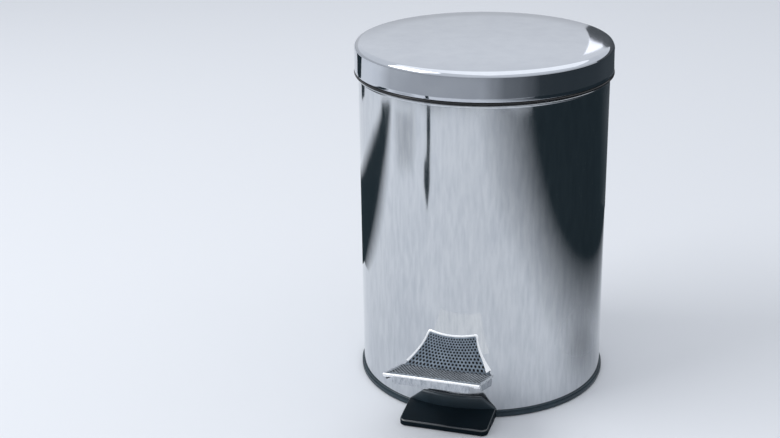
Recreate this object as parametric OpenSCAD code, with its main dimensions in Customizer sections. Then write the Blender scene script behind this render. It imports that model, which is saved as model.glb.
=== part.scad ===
// Small round pedal bin of about five litres. Millimetres, Z up.
// The origin is the centre of the bin on the floor, with the pedal towards -Y and the lid's hinge towards +Y.

/* [Overall] */
// Height of the shut bin above the floor
bin_h = 279; // [265:1:300]
// Outside diameter of the steel sleeve
sleeve_d = 198; // [192:1:206]
// Wall of the steel sleeve
sleeve_wall = 0.6; // [0.4:0.1:0.8]

/* [Lid] */
// How far the lid stands out past the sleeve, all round
lid_overhang = 3; // [2.5:0.1:3.5]
// Height of the lid from its lower edge to its flat top
lid_h = 22.5; // [21:0.5:26]
// Sheet thickness of the lid
lid_wall = 0.6; // [0.5:0.1:0.8]
// Outside radius of the lid's shoulder
lid_shoulder_r = 4.4; // [3:0.1:5]
// Diameter of the turned hem round the lid's lower edge
lid_hem_d = 1.5; // [1.2:0.1:2]
// Air between the shut lid and the rim ring
lid_gap = 0.3; // [0.2:0.05:0.6]
// How far the lid opens, in degrees
lid_open = 70; // [64:1:74]

/* [Rim] */
// Diameter of the bead rolled round the top of the sleeve
bead_d = 3; // [2.4:0.1:3.6]
// How far the bead stands out past the sleeve
bead_proud = 1; // [0.6:0.1:1.3]
// Thickness of the rim ring between the bead and the lid
ring_t = 2; // [1.6:0.1:3]
// How far the rim ring stands out past the lid
ring_proud = 0.3; // [0:0.1:0.6]
// Width of the rim ring seen from above
ring_w = 8.3; // [7.6:0.1:9.2]
// Depth of the rim ring's collar inside the sleeve
collar_h = 8; // [5:0.5:10]
// Thickness of that collar
collar_t = 1.6; // [1.2:0.1:1.8]

/* [Base] */
// Height of the base ring's outer lip above the floor
lip_h = 5.3; // [4.8:0.1:6.5]
// How far the base ring stands out past the sleeve
base_proud = 1.8; // [1.4:0.1:2.4]
// Underside of the sleeve above the floor
sleeve_z = 3.2; // [2.8:0.1:3.6]
// Height of the base ring's collar inside the sleeve
base_collar_h = 14; // [10:0.5:16]
// Wall of that collar
base_collar_t = 1.9; // [1.4:0.1:2.4]
// Thickness of the base floor
floor_t = 1.8; // [1.4:0.1:2.2]
// Radial width of the flat ring that the bin stands on
stand_w = 17; // [14:1:20]
// Thickness of the anti-slip rubber
rubber_t = 1.2; // [1:0.1:1.4]
// How far the rubber stands out below the plastic
rubber_proud = 0.4; // [0.3:0.05:0.6]
// Radial width of the rubber ring
rubber_w = 8; // [5:0.5:10]

/* [Foot plate] */
// Width of the foot plate
plate_w = 70; // [60:1:78]
// How far the foot plate reaches out in front of the sleeve
plate_reach = 27.5; // [22:0.5:34]
// Height of the foot plate's front edge
plate_h = 4.9; // [4:0.1:6]
// Height of the foot plate's top where it meets the sleeve
plate_rear_h = 8; // [7:0.5:10]
// Corner radius of the foot plate
plate_corner_r = 5; // [3:0.5:8]
// Height of the curved riser against the sleeve
riser_h = 17; // [14:0.5:20]
// Width of the riser's level top
riser_top_w = 48; // [36:1:54]
// Thickness of the riser
riser_t = 2.2; // [1.6:0.1:3]
// Radius of each round rubber under the foot plate
foot_pad_r = 5; // [3:0.5:6]

/* [Pedal pad] */
// Width of the pedal pad
pad_w = 74; // [64:1:78]
// Length of the tread from its crease to its front edge
tread_l = 46; // [40:1:52]
// Slope of the tread, in degrees, rising to the front
tread_tilt = 18; // [14:0.5:20]
// Height of the crease between tread and back
crease_z = 46.5; // [44:0.5:50]
// Distance of the crease in front of the sleeve
crease_out = 15.5; // [13:0.5:18]
// Height of the pad's raised back above the crease
back_h = 28; // [20:0.5:32]
// Width of the raised back along its top edge
back_top_w = 40; // [30:1:52]
// How far the top edge of the raised back dips in its middle
back_dip = 2.2; // [0:0.1:4]
// Gap between the top of the raised back and the sleeve
back_gap = 4; // [3:0.1:6]
// Sheet thickness of the pad
pad_t = 0.9; // [0.7:0.1:1.2]
// Width of the turned-down front skirt
skirt_w = 59; // [50:1:64]
// Height of the skirt and of the side flanges
skirt_h = 7; // [5:0.5:9]

/* [Lever] */
// Thickness of the lever strip
lever_t = 2.5; // [2:0.1:3]
// Width of the lever strip
lever_w = 16; // [14:1:20]
// Length of the lever from its axle to the rod pin
lever_rear = 126; // [116:1:132]
// Height of the lever's axle
axle_z = 30; // [28:0.5:33]
// Radius of the lever's axle
axle_r = 2.5; // [2:0.1:3]
// How far the pedal turns, in degrees
pedal_travel = 7; // [6:0.25:7.5]
// Wall of the barrel round the axle
barrel_wall = 2.5; // [2:0.1:3]
// Thickness of each post that holds the axle
post_t = 4; // [3:0.5:5]
// Play of the lever between its posts, on each side
post_play = 1.5; // [1:0.1:2]
// Thickness of the push-on cap at each end of the axle
cap_t = 1.8; // [1.4:0.1:2.4]
// Radius of those caps
cap_r = 5; // [4.2:0.1:6]
// Thickness of the slot's trim outside the sleeve
trim_t = 1.35; // [1:0.05:1.8]
// Border of the slot's trim round the opening
trim_w = 3; // [2.4:0.1:4]
// Wall of the trim's collar inside the slot
trim_wall = 1.2; // [0.8:0.1:1.6]
// Distance from the lever's front end to the front edge of the pad
lever_short = 8; // [5:0.5:14]
// Distance of the lever's bend from the outside of the sleeve
bend_in = 11; // [8:0.5:16]
// Length of the fork that holds the rod
fork_l = 20; // [16:1:30]

/* [Push rod] */
// Thickness of the flat push rod
rod_t = 2.5; // [2:0.1:3]
// Width of the flat push rod
rod_w = 5.8; // [5:0.1:6.4]
// Distance of the rod's centre from the inside of the sleeve
rod_in = 4.9; // [4.6:0.1:5.4]
// Radius of the pin between lever and rod
rod_pin_r = 1.6; // [1.3:0.1:1.8]
// Wall of each eye of the rod
eye_wall = 2.2; // [1.8:0.1:2.4]
// Thickness of each ear of the lever's fork
ear_t = 4; // [3:0.5:5]
// Height of the middle of the rod guide
guide_z = 140; // [100:5:190]
// Height of the rod guide
guide_h = 20; // [14:1:30]
// Width of the rod guide
guide_w = 20; // [18:1:26]
// Depth of the rod guide from the sleeve inwards
guide_d = 10.8; // [10:0.1:11.5]

/* [Hinge] */
// Distance of the hinge pin behind the sleeve
hinge_out = 9; // [8:0.5:10]
// Height of the hinge pin below the top of the rim ring
hinge_drop = 4.2; // [4:0.1:5]
// Radius of the hinge pin
hinge_pin_r = 2; // [1.6:0.1:2.2]
// Radius of the crank pin that the rod pushes
crank_pin_r = 1.5; // [1.2:0.1:1.6]
// Half the free width between the bracket's two arms
arm_in = 5.5; // [4:0.5:6]
// Thickness of each arm
arm_t = 3; // [2.5:0.1:3.5]
// Wall of the hinge housing's back and floor
housing_wall = 2; // [1.6:0.1:2.6]
// Thickness of each cheek that holds the hinge pin
cheek_t = 5.5; // [4:0.5:7]
// Depth of the housing below the hinge pin
housing_depth = 18; // [17:0.5:24]
// Thickness of the housing's mounting flange
flange_t = 2.4; // [1.8:0.1:3]
// Width of the mounting flange
flange_w = 52; // [50:1:60]
// Radius of the screws that hold the housing
screw_r = 1.6; // [1.3:0.1:1.8]
// Thickness of the screws' heads
screw_head_t = 2; // [1.4:0.1:2.6]
// Thickness of the nuts inside the sleeve
nut_t = 2.7; // [2:0.1:3.2]

/* [Lid bracket] */
// Width of the bracket's curved plate
bracket_w = 40; // [34:1:46]
// Thickness of the bracket's plates
bracket_t = 1.8; // [1.4:0.1:2.4]
// Distance of the curved plate's upper edge below the lid's top
bracket_drop = 7; // [6:0.5:10]
// Width of the leaf under the lid's top
leaf_w = 28; // [20:1:34]
// Length of that leaf
leaf_l = 33; // [24:1:40]
// Gap between that leaf and the lid's skirt
leaf_gap = 6; // [5:0.5:8]
// Radius of the bracket's rivets
bracket_rivet_r = 1.5; // [1.2:0.1:1.8]
// Height of those rivets above the lid's lower edge
rivet_up = 9.5; // [7:0.5:12]
// Height of the notch for the arms in the lid's skirt
notch_h = 8.5; // [7:0.5:10]
// Play of the arms in that notch, on each side
notch_play = 0.6; // [0.4:0.1:1]

/* [Bucket] */
// Wall of the bucket
bucket_wall = 1.6; // [1.2:0.1:2]
// Underside of the bucket above the floor
bucket_z = 48; // [46:0.5:56]
// Gap between the bucket's mouth and the inside of the sleeve
mouth_gap = 9.8; // [9:0.1:11]
// Width of the step inside the bucket's mouth
step_w = 2.7; // [2.4:0.1:4]
// How far the bucket narrows from its step to its foot, on each side
taper = 4.4; // [2:0.1:10]
// Height of the bucket's mouth from its step to the flange
mouth_h = 11; // [10:0.5:13]
// Thickness of the bucket's flange
bucket_flange_t = 1.95; // [1.5:0.05:2.4]
// Width of the carrying wire
wire_d = 3; // [2.4:0.1:3.2]
// Outside diameter of the grip on the wire
grip_d = 9; // [7:0.5:10]
// Length of the grip
grip_l = 60; // [40:1:76]
// Gap between the bucket's flange and the lid's skirt
flange_gap = 4.5; // [4:0.1:5]
// Rounding of the bucket's foot
foot_round = 3; // [2:0.5:8]

/* [Hidden] */
$fn = 96;

steel = "#c3c8d0";
dark_steel = "#8d949c";
black = "#1b1e22";
grey = "#3a3e44";

// clearances
seat = 0.05;          // between pieces that sit against each other
fixed_fit = 0.02;     // radial, pin held in its hole
running_fit = 0.06;   // radial, pin that turns in its hole
side_play = 0.45;     // beside a moving strip
big = 400;            // longer than any cut needs to be

// sleeve, lid and rim levels
sleeve_r = sleeve_d / 2;
sleeve_in = sleeve_r - sleeve_wall;
lid_r = sleeve_r + lid_overhang;
lid_in = lid_r - lid_wall;
lid_z = bin_h - lid_h;
lid_under = bin_h - lid_wall;
ring_top = lid_z - lid_gap;
ring_z = ring_top - ring_t;
ring_r = lid_r + ring_proud;
ring_in = ring_r - ring_w;
bead_r = bead_d / 2;
bead_c = sleeve_r + bead_proud - bead_r;
bead_z = ring_z - seat - bead_r;
collar_r = min(bead_c - bead_r, sleeve_in) - 0.2;

// base
plastic_z = rubber_proud;
base_r = sleeve_r + base_proud;
groove_in = sleeve_in - 0.15;
groove_out = sleeve_r + 0.15;
ledge_z = sleeve_z - 0.1;
collar_in = groove_in - base_collar_t;
stand_in = base_r - stand_w;
floor_top = ledge_z + 0.6;
floor_z = floor_top - floor_t;
rubber_mid_r = base_r - stand_w / 2;
lip_step = 1.4;
lip_in = 0.7;

// motion: the rod pin and the crank pin rise by the same amount
hinge_y = sleeve_r + hinge_out;
hinge_z = ring_top - hinge_drop;
crank_r = lever_rear * sin(pedal_travel / 2) / sin(lid_open / 2);
crank_y = hinge_y - crank_r * cos(lid_open / 2);
crank_z = hinge_z - crank_r * sin(lid_open / 2);
crank_swing = crank_r * (1 - cos(lid_open / 2));
rod_swing = lever_rear * (1 - cos(pedal_travel / 2));
rod_y = sleeve_in - rod_in;
axle_y = rod_y - lever_rear * cos(pedal_travel / 2);
rod_z = axle_z - lever_rear * sin(pedal_travel / 2);

// pedal pad
crease_r = sleeve_r + crease_out;
front_r = crease_r + tread_l * cos(tread_tilt);
pad_drop = pad_t / cos(tread_tilt);
back_top_r = sleeve_r + back_gap;
back_lean = atan((crease_r - back_top_r) / back_h);
back_t = pad_t / cos(back_lean);
skirt_corner_r = 2.5;
function tread_z(r) = crease_z + (r - crease_r) * tan(tread_tilt);
front_z = tread_z(front_r);

// lever
lever_half = lever_t / 2;
lever_under = pad_drop + lever_half / cos(tread_tilt);
lever_front_r = front_r - lever_short;
lever_bend_r = sleeve_r - bend_in;
barrel_r = axle_r + barrel_wall;
ear_gap = rod_t / 2 + side_play;
ear_out = ear_gap + ear_t;
rod_eye_r = rod_pin_r + eye_wall;
fork_y = rod_y - fork_l;

// slot for the lever in the sleeve
slot_w = lever_w + 2 * post_play;
slot_mid = tread_z(sleeve_r) - lever_under;
slot_drop = (sleeve_r + axle_y) * sin(pedal_travel);
slot_margin = 1.6 + lever_half / cos(tread_tilt);
slot_top = slot_mid + slot_margin;
slot_bottom = slot_mid - slot_drop - slot_margin;

// posts of the axle
post_in = lever_w / 2 + post_play;
post_out = post_in + post_t;
post_half = axle_r + 3.5;

// rod guide
guide_rivet_r = 1.6;
guide_angle = asin((guide_w / 2 - 3.6) / sleeve_r);
guide_face = sleeve_in - guide_d;

// hinge
arm_out = arm_in + arm_t;
housing_gap = arm_out + 1;
housing_half = housing_gap + cheek_t;
housing_back = hinge_y + 7.5;
housing_top = ring_top - 0.2;
housing_z = hinge_z - housing_depth;
flange_top = bead_z - bead_r - 0.7;
ring_gap = housing_half + 2;
hinge_boss_r = hinge_pin_r + 2.2;
crank_boss_r = crank_pin_r + 1.9;
notch_half = arm_out + notch_play;
bracket_wall_r = lid_in - lid_hem_d + lid_wall - seat;
bracket_half = bracket_w / 2;
bracket_top = bin_h - bracket_drop;
leaf_half = leaf_w / 2;
leaf_back = lid_in - leaf_gap;
leaf_front = leaf_back - leaf_l;
rivet_z = lid_z + rivet_up;
rivet_angle = asin((bracket_half - 5) / lid_r);
rivet_dish = 0.2;     // a flat head on a curved plate stands this far off its middle
screw_angle = asin((flange_w / 2 - 5.5) / sleeve_r);
screw_z = (housing_z + flange_top) / 2;
slot_y0 = hinge_y - crank_r - rod_swing;
slot_y1 = crank_y;
slot_half = crank_pin_r + 0.35;

// bucket
flange_z = ring_top + seat;
flange_top_z = flange_z + bucket_flange_t;
bucket_flange_r = lid_in - flange_gap;
bucket_mouth_r = sleeve_in - mouth_gap;
bucket_waist_r = bucket_mouth_r - step_w;
bucket_foot_r = bucket_waist_r - taper;
step_z = flange_z - mouth_h;
bucket_notch = arm_out + 4.5;
wire_r = wire_d / 2;
bail_pin_r = wire_r + 0.1;    // the pressed ends are a little thicker than the wire
chord_r = wire_r - 0.1;       // and the drawn middle a little thinner
bail_r = bucket_mouth_r - bucket_wall - 0.3 - wire_r;
bail_z = step_z + 0.25 + wire_r;
bail_bend = 60;

// a flat shape drawn in Y and Z, given the width w across X
module across(w) {
    translate([-w / 2, 0, 0])
        rotate([90, 0, 90])
            linear_extrude(w)
                children();
}

// a flat shape drawn in X and Z, reaching from y0 to y1
module along_y(y0, y1) {
    translate([0, y1, 0])
        rotate([90, 0, 0])
            linear_extrude(y1 - y0)
                children();
}

// a round bar along X from x0 to x1 at a place in Y and Z
module x_bar(r, x0, x1, y, z) {
    translate([x0, y, z])
        rotate([0, 90, 0])
            cylinder(r = r, h = x1 - x0);
}

// a round bar pointing away from the bin's axis, from radius r0 to r1, turned by a degrees from +Y
module radial_bar(r, r0, r1, a, z) {
    rotate([0, 0, -a])
        translate([0, r1, z])
            rotate([90, 0, 0])
                cylinder(r = r, h = r1 - r0);
}

// a wall that follows a circle about the bin's axis
module round_wall(r0, r1, z0, z1) {
    translate([0, 0, z0])
        difference() {
            cylinder(r = r1, h = z1 - z0, $fn = 180);
            translate([0, 0, -1])
                cylinder(r = r0, h = z1 - z0 + 2, $fn = 180);
        }
}

// a box from one corner to the other
module box(low, high) {
    translate(low)
        cube(high - low);
}

module mirrored() {
    children();
    mirror([1, 0, 0])
        children();
}

// two rows of places in Y and Z, joined by a strip of thickness t with round ends, w wide
module strip(p, q, t, w) {
    dir = (q - p) / norm(q - p);
    side = [-dir[1], dir[0]] * t / 2;
    across(w)
        union() {
            polygon([p + side, q + side, q - side, p - side]);
            translate(p)
                circle(r = t / 2);
            translate(q)
                circle(r = t / 2);
        }
}

// sleeve: rolled steel tube with a bead round its top, a slot in front and a window behind
module body_shell() {
    color(steel)
        difference() {
            rotate_extrude($fn = 180)
                union() {
                    translate([sleeve_in, sleeve_z])
                        square([sleeve_wall, bead_z - sleeve_z]);
                    translate([bead_c, bead_z])
                        circle(r = bead_r);
                }
            // lever slot
            box([-slot_w / 2 - trim_wall - seat, -big, slot_bottom - trim_wall - seat],
                [slot_w / 2 + trim_wall + seat, -sleeve_r / 2, slot_top + trim_wall + seat]);
            // window for the bracket's arms and the rod
            box([-housing_gap - 0.3, 0, housing_z + housing_wall], [housing_gap + 0.3, big, big]);
            for (s = [-1, 1]) {
                radial_bar(screw_r + seat, sleeve_r / 2, big, s * screw_angle, screw_z);
                radial_bar(guide_rivet_r + seat, sleeve_r / 2, big, s * guide_angle, guide_z);
            }
        }
}

// rim ring: plastic ring on the bead, with a collar that locates it inside the sleeve
module rim_ring() {
    edge = 0.6;
    color(black)
        difference() {
            rotate_extrude($fn = 180)
                union() {
                    polygon([[ring_in, ring_z], [ring_r - edge, ring_z], [ring_r, ring_z + edge],
                             [ring_r, ring_top - edge], [ring_r - edge, ring_top], [ring_in, ring_top]]);
                    translate([collar_r - collar_t, ring_z - collar_h])
                        square([collar_t, collar_h + ring_t / 2]);
                }
            box([-ring_gap, 0, ring_z - collar_h - 1], [ring_gap, big, big]);
        }
}

// base: ring that holds the sleeve, floor, and two posts for the axle
module base_ring() {
    color(black)
        difference() {
            union() {
                rotate_extrude($fn = 180)
                    polygon([[0, floor_z], [stand_in, floor_z], [stand_in, plastic_z],
                             [base_r - 0.5, plastic_z], [base_r, plastic_z + 0.5],
                             [base_r, lip_h - lip_step], [base_r - lip_in, lip_h - lip_step],
                             [base_r - lip_in, lip_h], [groove_out, lip_h], [groove_out, ledge_z],
                             [groove_in, ledge_z], [groove_in, base_collar_h],
                             [collar_in, base_collar_h], [collar_in, floor_top], [0, floor_top]]);
                mirrored()
                    post();
            }
            x_bar(axle_r + fixed_fit, -post_out - 1, post_out + 1, axle_y, axle_z);
            // groove for the rubber
            round_wall(rubber_mid_r - rubber_w / 2 - seat, rubber_mid_r + rubber_w / 2 + seat,
                       plastic_z - 1, rubber_t + seat);
        }
}

module post() {
    gusset = 14;
    translate([post_in, axle_y, 0]) {
        box([0, -post_half, floor_z + floor_t / 2], [post_t, post_half, axle_z]);
        x_bar(post_half, 0, post_t, 0, axle_z);
        translate([post_t / 2, 0, 0])
            across(post_t / 2)
                polygon([[-post_half - gusset, floor_top - floor_t / 2],
                         [post_half + gusset, floor_top - floor_t / 2],
                         [post_half, axle_z - 4], [-post_half, axle_z - 4]]);
    }
}

// foot plate: flat tongue in front of the base, with a curved riser against the sleeve
module foot_plate() {
    bevel = 0.8;
    front = -sleeve_r - plate_reach;
    half = plate_w / 2;
    color(black)
        difference() {
            union() {
                intersection() {
                    across(plate_w)
                        polygon([[front, plastic_z], [front, plate_h - bevel], [front + bevel, plate_h],
                                 [-sleeve_r, plate_rear_h], [-sleeve_r * 0.9, plate_rear_h],
                                 [-sleeve_r * 0.9, plastic_z]]);
                    union() {
                        box([-half, front + plate_corner_r, 0], [half, 0, riser_h]);
                        box([-half + plate_corner_r, front, 0], [half - plate_corner_r, 0, riser_h]);
                        mirrored()
                            translate([half - plate_corner_r, front + plate_corner_r, 0])
                                cylinder(r = plate_corner_r, h = riser_h);
                    }
                }
                intersection() {
                    round_wall(sleeve_r, sleeve_r + riser_t, plastic_z, riser_h);
                    along_y(-big, -sleeve_r / 2)
                        polygon([[-half, plastic_z], [half, plastic_z], [half, plate_rear_h],
                                 [riser_top_w / 2, riser_h], [-riser_top_w / 2, riser_h],
                                 [-half, plate_rear_h]]);
                }
            }
            translate([0, 0, -1])
                cylinder(r = base_r + seat, h = lip_h + seat + 1, $fn = 180);
            cylinder(r = sleeve_r + seat, h = big, $fn = 180);
            foot_pad_places(foot_pad_r + seat, plastic_z - 1, rubber_t + seat);
        }
}

module foot_pad_places(r, z0, z1) {
    mirrored()
        translate([plate_w / 2 - foot_pad_r - 6, -base_r - foot_pad_r - 5, z0])
            cylinder(r = r, h = z1 - z0);
}

// rubber ring under the base and two round pads under the foot plate
module anti_slip_pads() {
    color(grey) {
        round_wall(rubber_mid_r - rubber_w / 2, rubber_mid_r + rubber_w / 2, 0, rubber_t);
        foot_pad_places(foot_pad_r, 0, rubber_t);
    }
}

// trim: plastic edging of the lever's slot
module slot_trim() {
    color(black)
        difference() {
            union() {
                intersection() {
                    round_wall(sleeve_r + seat, sleeve_r + trim_t, slot_bottom - trim_w, slot_top + trim_w);
                    box([-slot_w / 2 - trim_w, -big, 0], [slot_w / 2 + trim_w, 0, big]);
                }
                intersection() {
                    round_wall(sleeve_in - 1, sleeve_r + trim_t, slot_bottom - trim_wall,
                               slot_top + trim_wall);
                    box([-slot_w / 2 - trim_wall, -big, 0], [slot_w / 2 + trim_wall, 0, big]);
                }
            }
            box([-slot_w / 2, -big, slot_bottom], [slot_w / 2, 0, slot_top]);
        }
}

module lever_axle() {
    color(dark_steel)
        x_bar(axle_r, -post_out - cap_t - 0.8, post_out + cap_t + 0.8, axle_y, axle_z);
}

module axle_caps() {
    color(dark_steel)
        mirrored()
            difference() {
                x_bar(cap_r, post_out + seat, post_out + seat + cap_t, axle_y, axle_z);
                x_bar(axle_r + fixed_fit, post_out - 1, post_out + cap_t + 1, axle_y, axle_z);
            }
}

// guide: block inside the rear wall with a channel for the rod
module rod_guide() {
    color(black)
        difference() {
            intersection() {
                box([-guide_w / 2, guide_face, guide_z - guide_h / 2],
                    [guide_w / 2, sleeve_r, guide_z + guide_h / 2]);
                cylinder(r = sleeve_in - seat, h = big, $fn = 180);
            }
            box([-rod_t / 2 - side_play, rod_y - rod_w / 2 - side_play, 0],
                [rod_t / 2 + side_play, rod_y + rod_w / 2 + rod_swing + side_play, big]);
            for (s = [-1, 1])
                radial_bar(guide_rivet_r + seat, sleeve_r / 2, sleeve_r, s * guide_angle, guide_z);
        }
}

module guide_rivets() {
    tail = 0.9;
    head_t = guide_rivet_r * 0.8;
    face_r = guide_face / cos(guide_angle);
    color(steel)
        for (s = [-1, 1]) {
            radial_bar(guide_rivet_r, face_r - tail, sleeve_r + head_t / 2, s * guide_angle, guide_z);
            radial_bar(guide_rivet_r * 1.5, face_r - tail - 0.4, face_r - 0.55, s * guide_angle, guide_z);
            radial_bar(guide_rivet_r * 2, sleeve_r + seat, sleeve_r + head_t, s * guide_angle, guide_z);
        }
}

// housing: plastic box on the rear of the sleeve, open to the top and to the window
module hinge_housing() {
    corner = 4;
    color(black)
        difference() {
            union() {
                box([-housing_half, 0, housing_z], [housing_half, housing_back - corner, housing_top]);
                box([-housing_half + corner, 0, housing_z],
                    [housing_half - corner, housing_back, housing_top]);
                mirrored()
                    translate([housing_half - corner, housing_back - corner, housing_z])
                        cylinder(r = corner, h = housing_top - housing_z);
                intersection() {
                    round_wall(sleeve_r, sleeve_r + flange_t, housing_z, flange_top);
                    box([-flange_w / 2, 0, 0], [flange_w / 2, big, big]);
                }
            }
            cylinder(r = sleeve_r + seat, h = big, $fn = 180);
            translate([0, 0, flange_top])
                cylinder(r = sleeve_r + bead_proud + 0.3, h = big, $fn = 180);
            box([-housing_gap, 0, housing_z + housing_wall],
                [housing_gap, housing_back - housing_wall, big]);
            x_bar(hinge_pin_r + fixed_fit, -housing_half - 1, housing_half + 1, hinge_y, hinge_z);
            for (s = [-1, 1])
                radial_bar(screw_r + seat, sleeve_r / 2, big, s * screw_angle, screw_z);
        }
}

module hinge_pin() {
    color(steel)
        x_bar(hinge_pin_r, -housing_half + 0.3, housing_half - 0.3, hinge_y, hinge_z);
}

module housing_screws() {
    head_r = screw_r * 1.9;
    seat_r = sleeve_r + flange_t;
    color(steel)
        for (s = [-1, 1]) {
            radial_bar(screw_r, sleeve_in - nut_t - screw_r, seat_r + screw_head_t / 2,
                       s * screw_angle, screw_z);
            difference() {
                radial_bar(head_r, seat_r + seat, seat_r + screw_head_t, s * screw_angle, screw_z);
                rotate([0, 0, -s * screw_angle])
                    translate([0, seat_r + screw_head_t, screw_z])
                        for (t = [0, 90])
                            rotate([0, t, 0])
                                cube([head_r * 1.2, screw_head_t * 0.8, screw_r * 0.45], center = true);
            }
        }
}

module housing_nuts() {
    nut = screw_r * 4.2;
    dish = 0.2;
    color(dark_steel)
        for (s = [-1, 1])
            difference() {
                rotate([0, 0, -s * screw_angle])
                    translate([-nut / 2, sleeve_in - dish - nut_t, screw_z - nut / 2])
                        cube([nut, nut_t, nut]);
                radial_bar(screw_r + fixed_fit, sleeve_r / 2, sleeve_r, s * screw_angle, screw_z);
            }
}

// lever: bent strip with a barrel for the axle and a fork for the rod
module pedal_lever() {
    front = [-lever_front_r, tread_z(lever_front_r) - lever_under - 0.02];
    bend = [-lever_bend_r, tread_z(lever_bend_r) - lever_under - 0.02];
    pivot = [axle_y, axle_z];
    rear = [rod_y, rod_z];
    color(dark_steel)
        difference() {
            union() {
                strip(front, bend, lever_t, lever_w);
                strip(bend, pivot, lever_t, lever_w);
                difference() {
                    strip(pivot, rear, lever_t, lever_w);
                    mirrored()
                        box([ear_out, fork_y, 0], [big, big, big]);
                }
                x_bar(barrel_r, -lever_w / 2, lever_w / 2, axle_y, axle_z);
                mirrored()
                    x_bar(rod_eye_r, ear_gap, ear_out, rod_y, rod_z);
            }
            x_bar(axle_r + running_fit, -lever_w, lever_w, axle_y, axle_z);
            box([-ear_gap, fork_y + 4, 0], [ear_gap, big, big]);
            x_bar(rod_pin_r + fixed_fit, -lever_w, lever_w, rod_y, rod_z);
        }
}

// half the width of the pad's back at a share s of its height
function back_half(s) = back_top_w / 2 + (pad_w - back_top_w) / 2 * pow(1 - s, 1.5);

// pad: pressed sheet with a sloping tread, a back that follows the sleeve, a skirt and side flanges
module pedal_pad() {
    steps = 12;
    edge = [for (i = [0:steps]) [back_half(i / steps), crease_z + back_h * i / steps]];
    other_edge = [for (i = [steps:-1:0]) [-edge[i][0], edge[i][1]]];
    top_z = crease_z + back_h;
    top_edge = [for (i = [1:steps - 1]) let (s = 1 - 2 * i / steps)
                [s * back_top_w / 2, top_z - back_dip * (1 - s * s)]];
    low = crease_z - 8;
    high = top_z + 1;
    low_r = crease_r + (crease_z - low) * tan(back_lean);
    high_r = crease_r + (crease_z - high) * tan(back_lean);
    color(steel)
        union() {
            // tread
            difference() {
                across(pad_w)
                    polygon([[-sleeve_r, tread_z(sleeve_r)], [-front_r, front_z],
                             [-front_r, front_z - pad_drop], [-sleeve_r, tread_z(sleeve_r) - pad_drop]]);
                translate([0, 0, low])
                    cylinder(r1 = low_r, r2 = high_r, h = high - low, $fn = 180);
            }
            // back
            intersection() {
                rotate_extrude($fn = 180)
                    polygon([[low_r, low], [low_r + back_t, low], [high_r + back_t, high],
                             [high_r, high]]);
                along_y(-big, 0)
                    polygon(concat([[-pad_w / 2, low], [pad_w / 2, low]], edge, top_edge, other_edge));
                across(pad_w * 2)
                    polygon([[0, tread_z(0) - pad_drop], [-big, tread_z(big) - pad_drop], [-big, big],
                             [0, big]]);
            }
            // rolled front edge
            x_bar(pad_t, -pad_w / 2, pad_w / 2, -front_r, front_z - pad_t);
            // skirt
            along_y(-front_r - pad_t, -front_r)
                union() {
                    translate([-skirt_w / 2, front_z - skirt_h + skirt_corner_r])
                        square([skirt_w, skirt_h - skirt_corner_r - pad_t]);
                    translate([-skirt_w / 2 + skirt_corner_r, front_z - skirt_h])
                        square([skirt_w - 2 * skirt_corner_r, skirt_h - pad_t]);
                    for (s = [-1, 1])
                        translate([s * (skirt_w / 2 - skirt_corner_r), front_z - skirt_h + skirt_corner_r])
                            circle(r = skirt_corner_r);
                }
            // side flanges
            mirrored()
                translate([pad_w / 2 - pad_t / 2, 0, 0])
                    across(pad_t)
                        polygon([[-crease_r - 4, tread_z(crease_r + 4) - pad_drop / 2],
                                 [-crease_r - 6, tread_z(crease_r + 6) - skirt_h],
                                 [-front_r + 6, tread_z(front_r - 6) - skirt_h * 0.8],
                                 [-front_r + 3, tread_z(front_r - 3) - pad_drop / 2]]);
        }
}

module rod_pin() {
    color(steel) {
        x_bar(rod_pin_r, -ear_out - 1.6, ear_out + 0.5, rod_y, rod_z);
        x_bar(rod_pin_r * 1.7, ear_out + seat, ear_out + 1.4, rod_y, rod_z);
    }
}

module rod_clip() {
    color(dark_steel)
        difference() {
            x_bar(rod_pin_r * 1.9, -ear_out - 0.9, -ear_out - seat, rod_y, rod_z);
            x_bar(rod_pin_r + fixed_fit, -ear_out - 2, -ear_out + 1, rod_y, rod_z);
        }
}

// rod: flat strip with a round eye below and a level slotted eye on top
module push_rod() {
    color(dark_steel)
        across(rod_t)
            difference() {
                union() {
                    translate([rod_y, rod_z])
                        circle(r = rod_eye_r);
                    translate([rod_y - rod_w / 2, rod_z])
                        square([rod_w, crank_z - rod_z]);
                    slot_shape(slot_half + eye_wall);
                }
                translate([rod_y, rod_z])
                    circle(r = rod_pin_r + running_fit);
                slot_shape(slot_half);
            }
}

// level slot for the crank pin, with its half height r
module slot_shape(r) {
    translate([slot_y0, crank_z - r])
        square([slot_y1 - slot_y0, 2 * r]);
    for (y = [slot_y0, slot_y1])
        translate([y, crank_z])
            circle(r = r);
}

// lid: stamped cap with a flat top, a round shoulder and a hemmed skirt
module lid_shell() {
    color(steel)
        difference() {
            rotate_extrude($fn = 180)
                union() {
                    difference() {
                        cap_shape(lid_r, bin_h, lid_shoulder_r);
                        translate([0, -lid_wall])
                            cap_shape(lid_in, bin_h, lid_shoulder_r - lid_wall);
                    }
                    translate([lid_r - lid_hem_d / 2, lid_z + lid_hem_d / 2])
                        circle(d = lid_hem_d);
                }
            box([-notch_half, 0, lid_z - 1], [notch_half, big, lid_z + notch_h]);
            for (s = [-1, 1])
                radial_bar(bracket_rivet_r + seat, sleeve_r / 2, big, s * rivet_angle, rivet_z);
        }
}

// half section of a cap of radius r and top z, with shoulder radius q
module cap_shape(r, z, q) {
    translate([0, lid_z])
        square([r - q, z - lid_z]);
    translate([0, lid_z])
        square([r, z - q - lid_z]);
    translate([r - q, z - q])
        circle(r = q);
}

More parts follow.
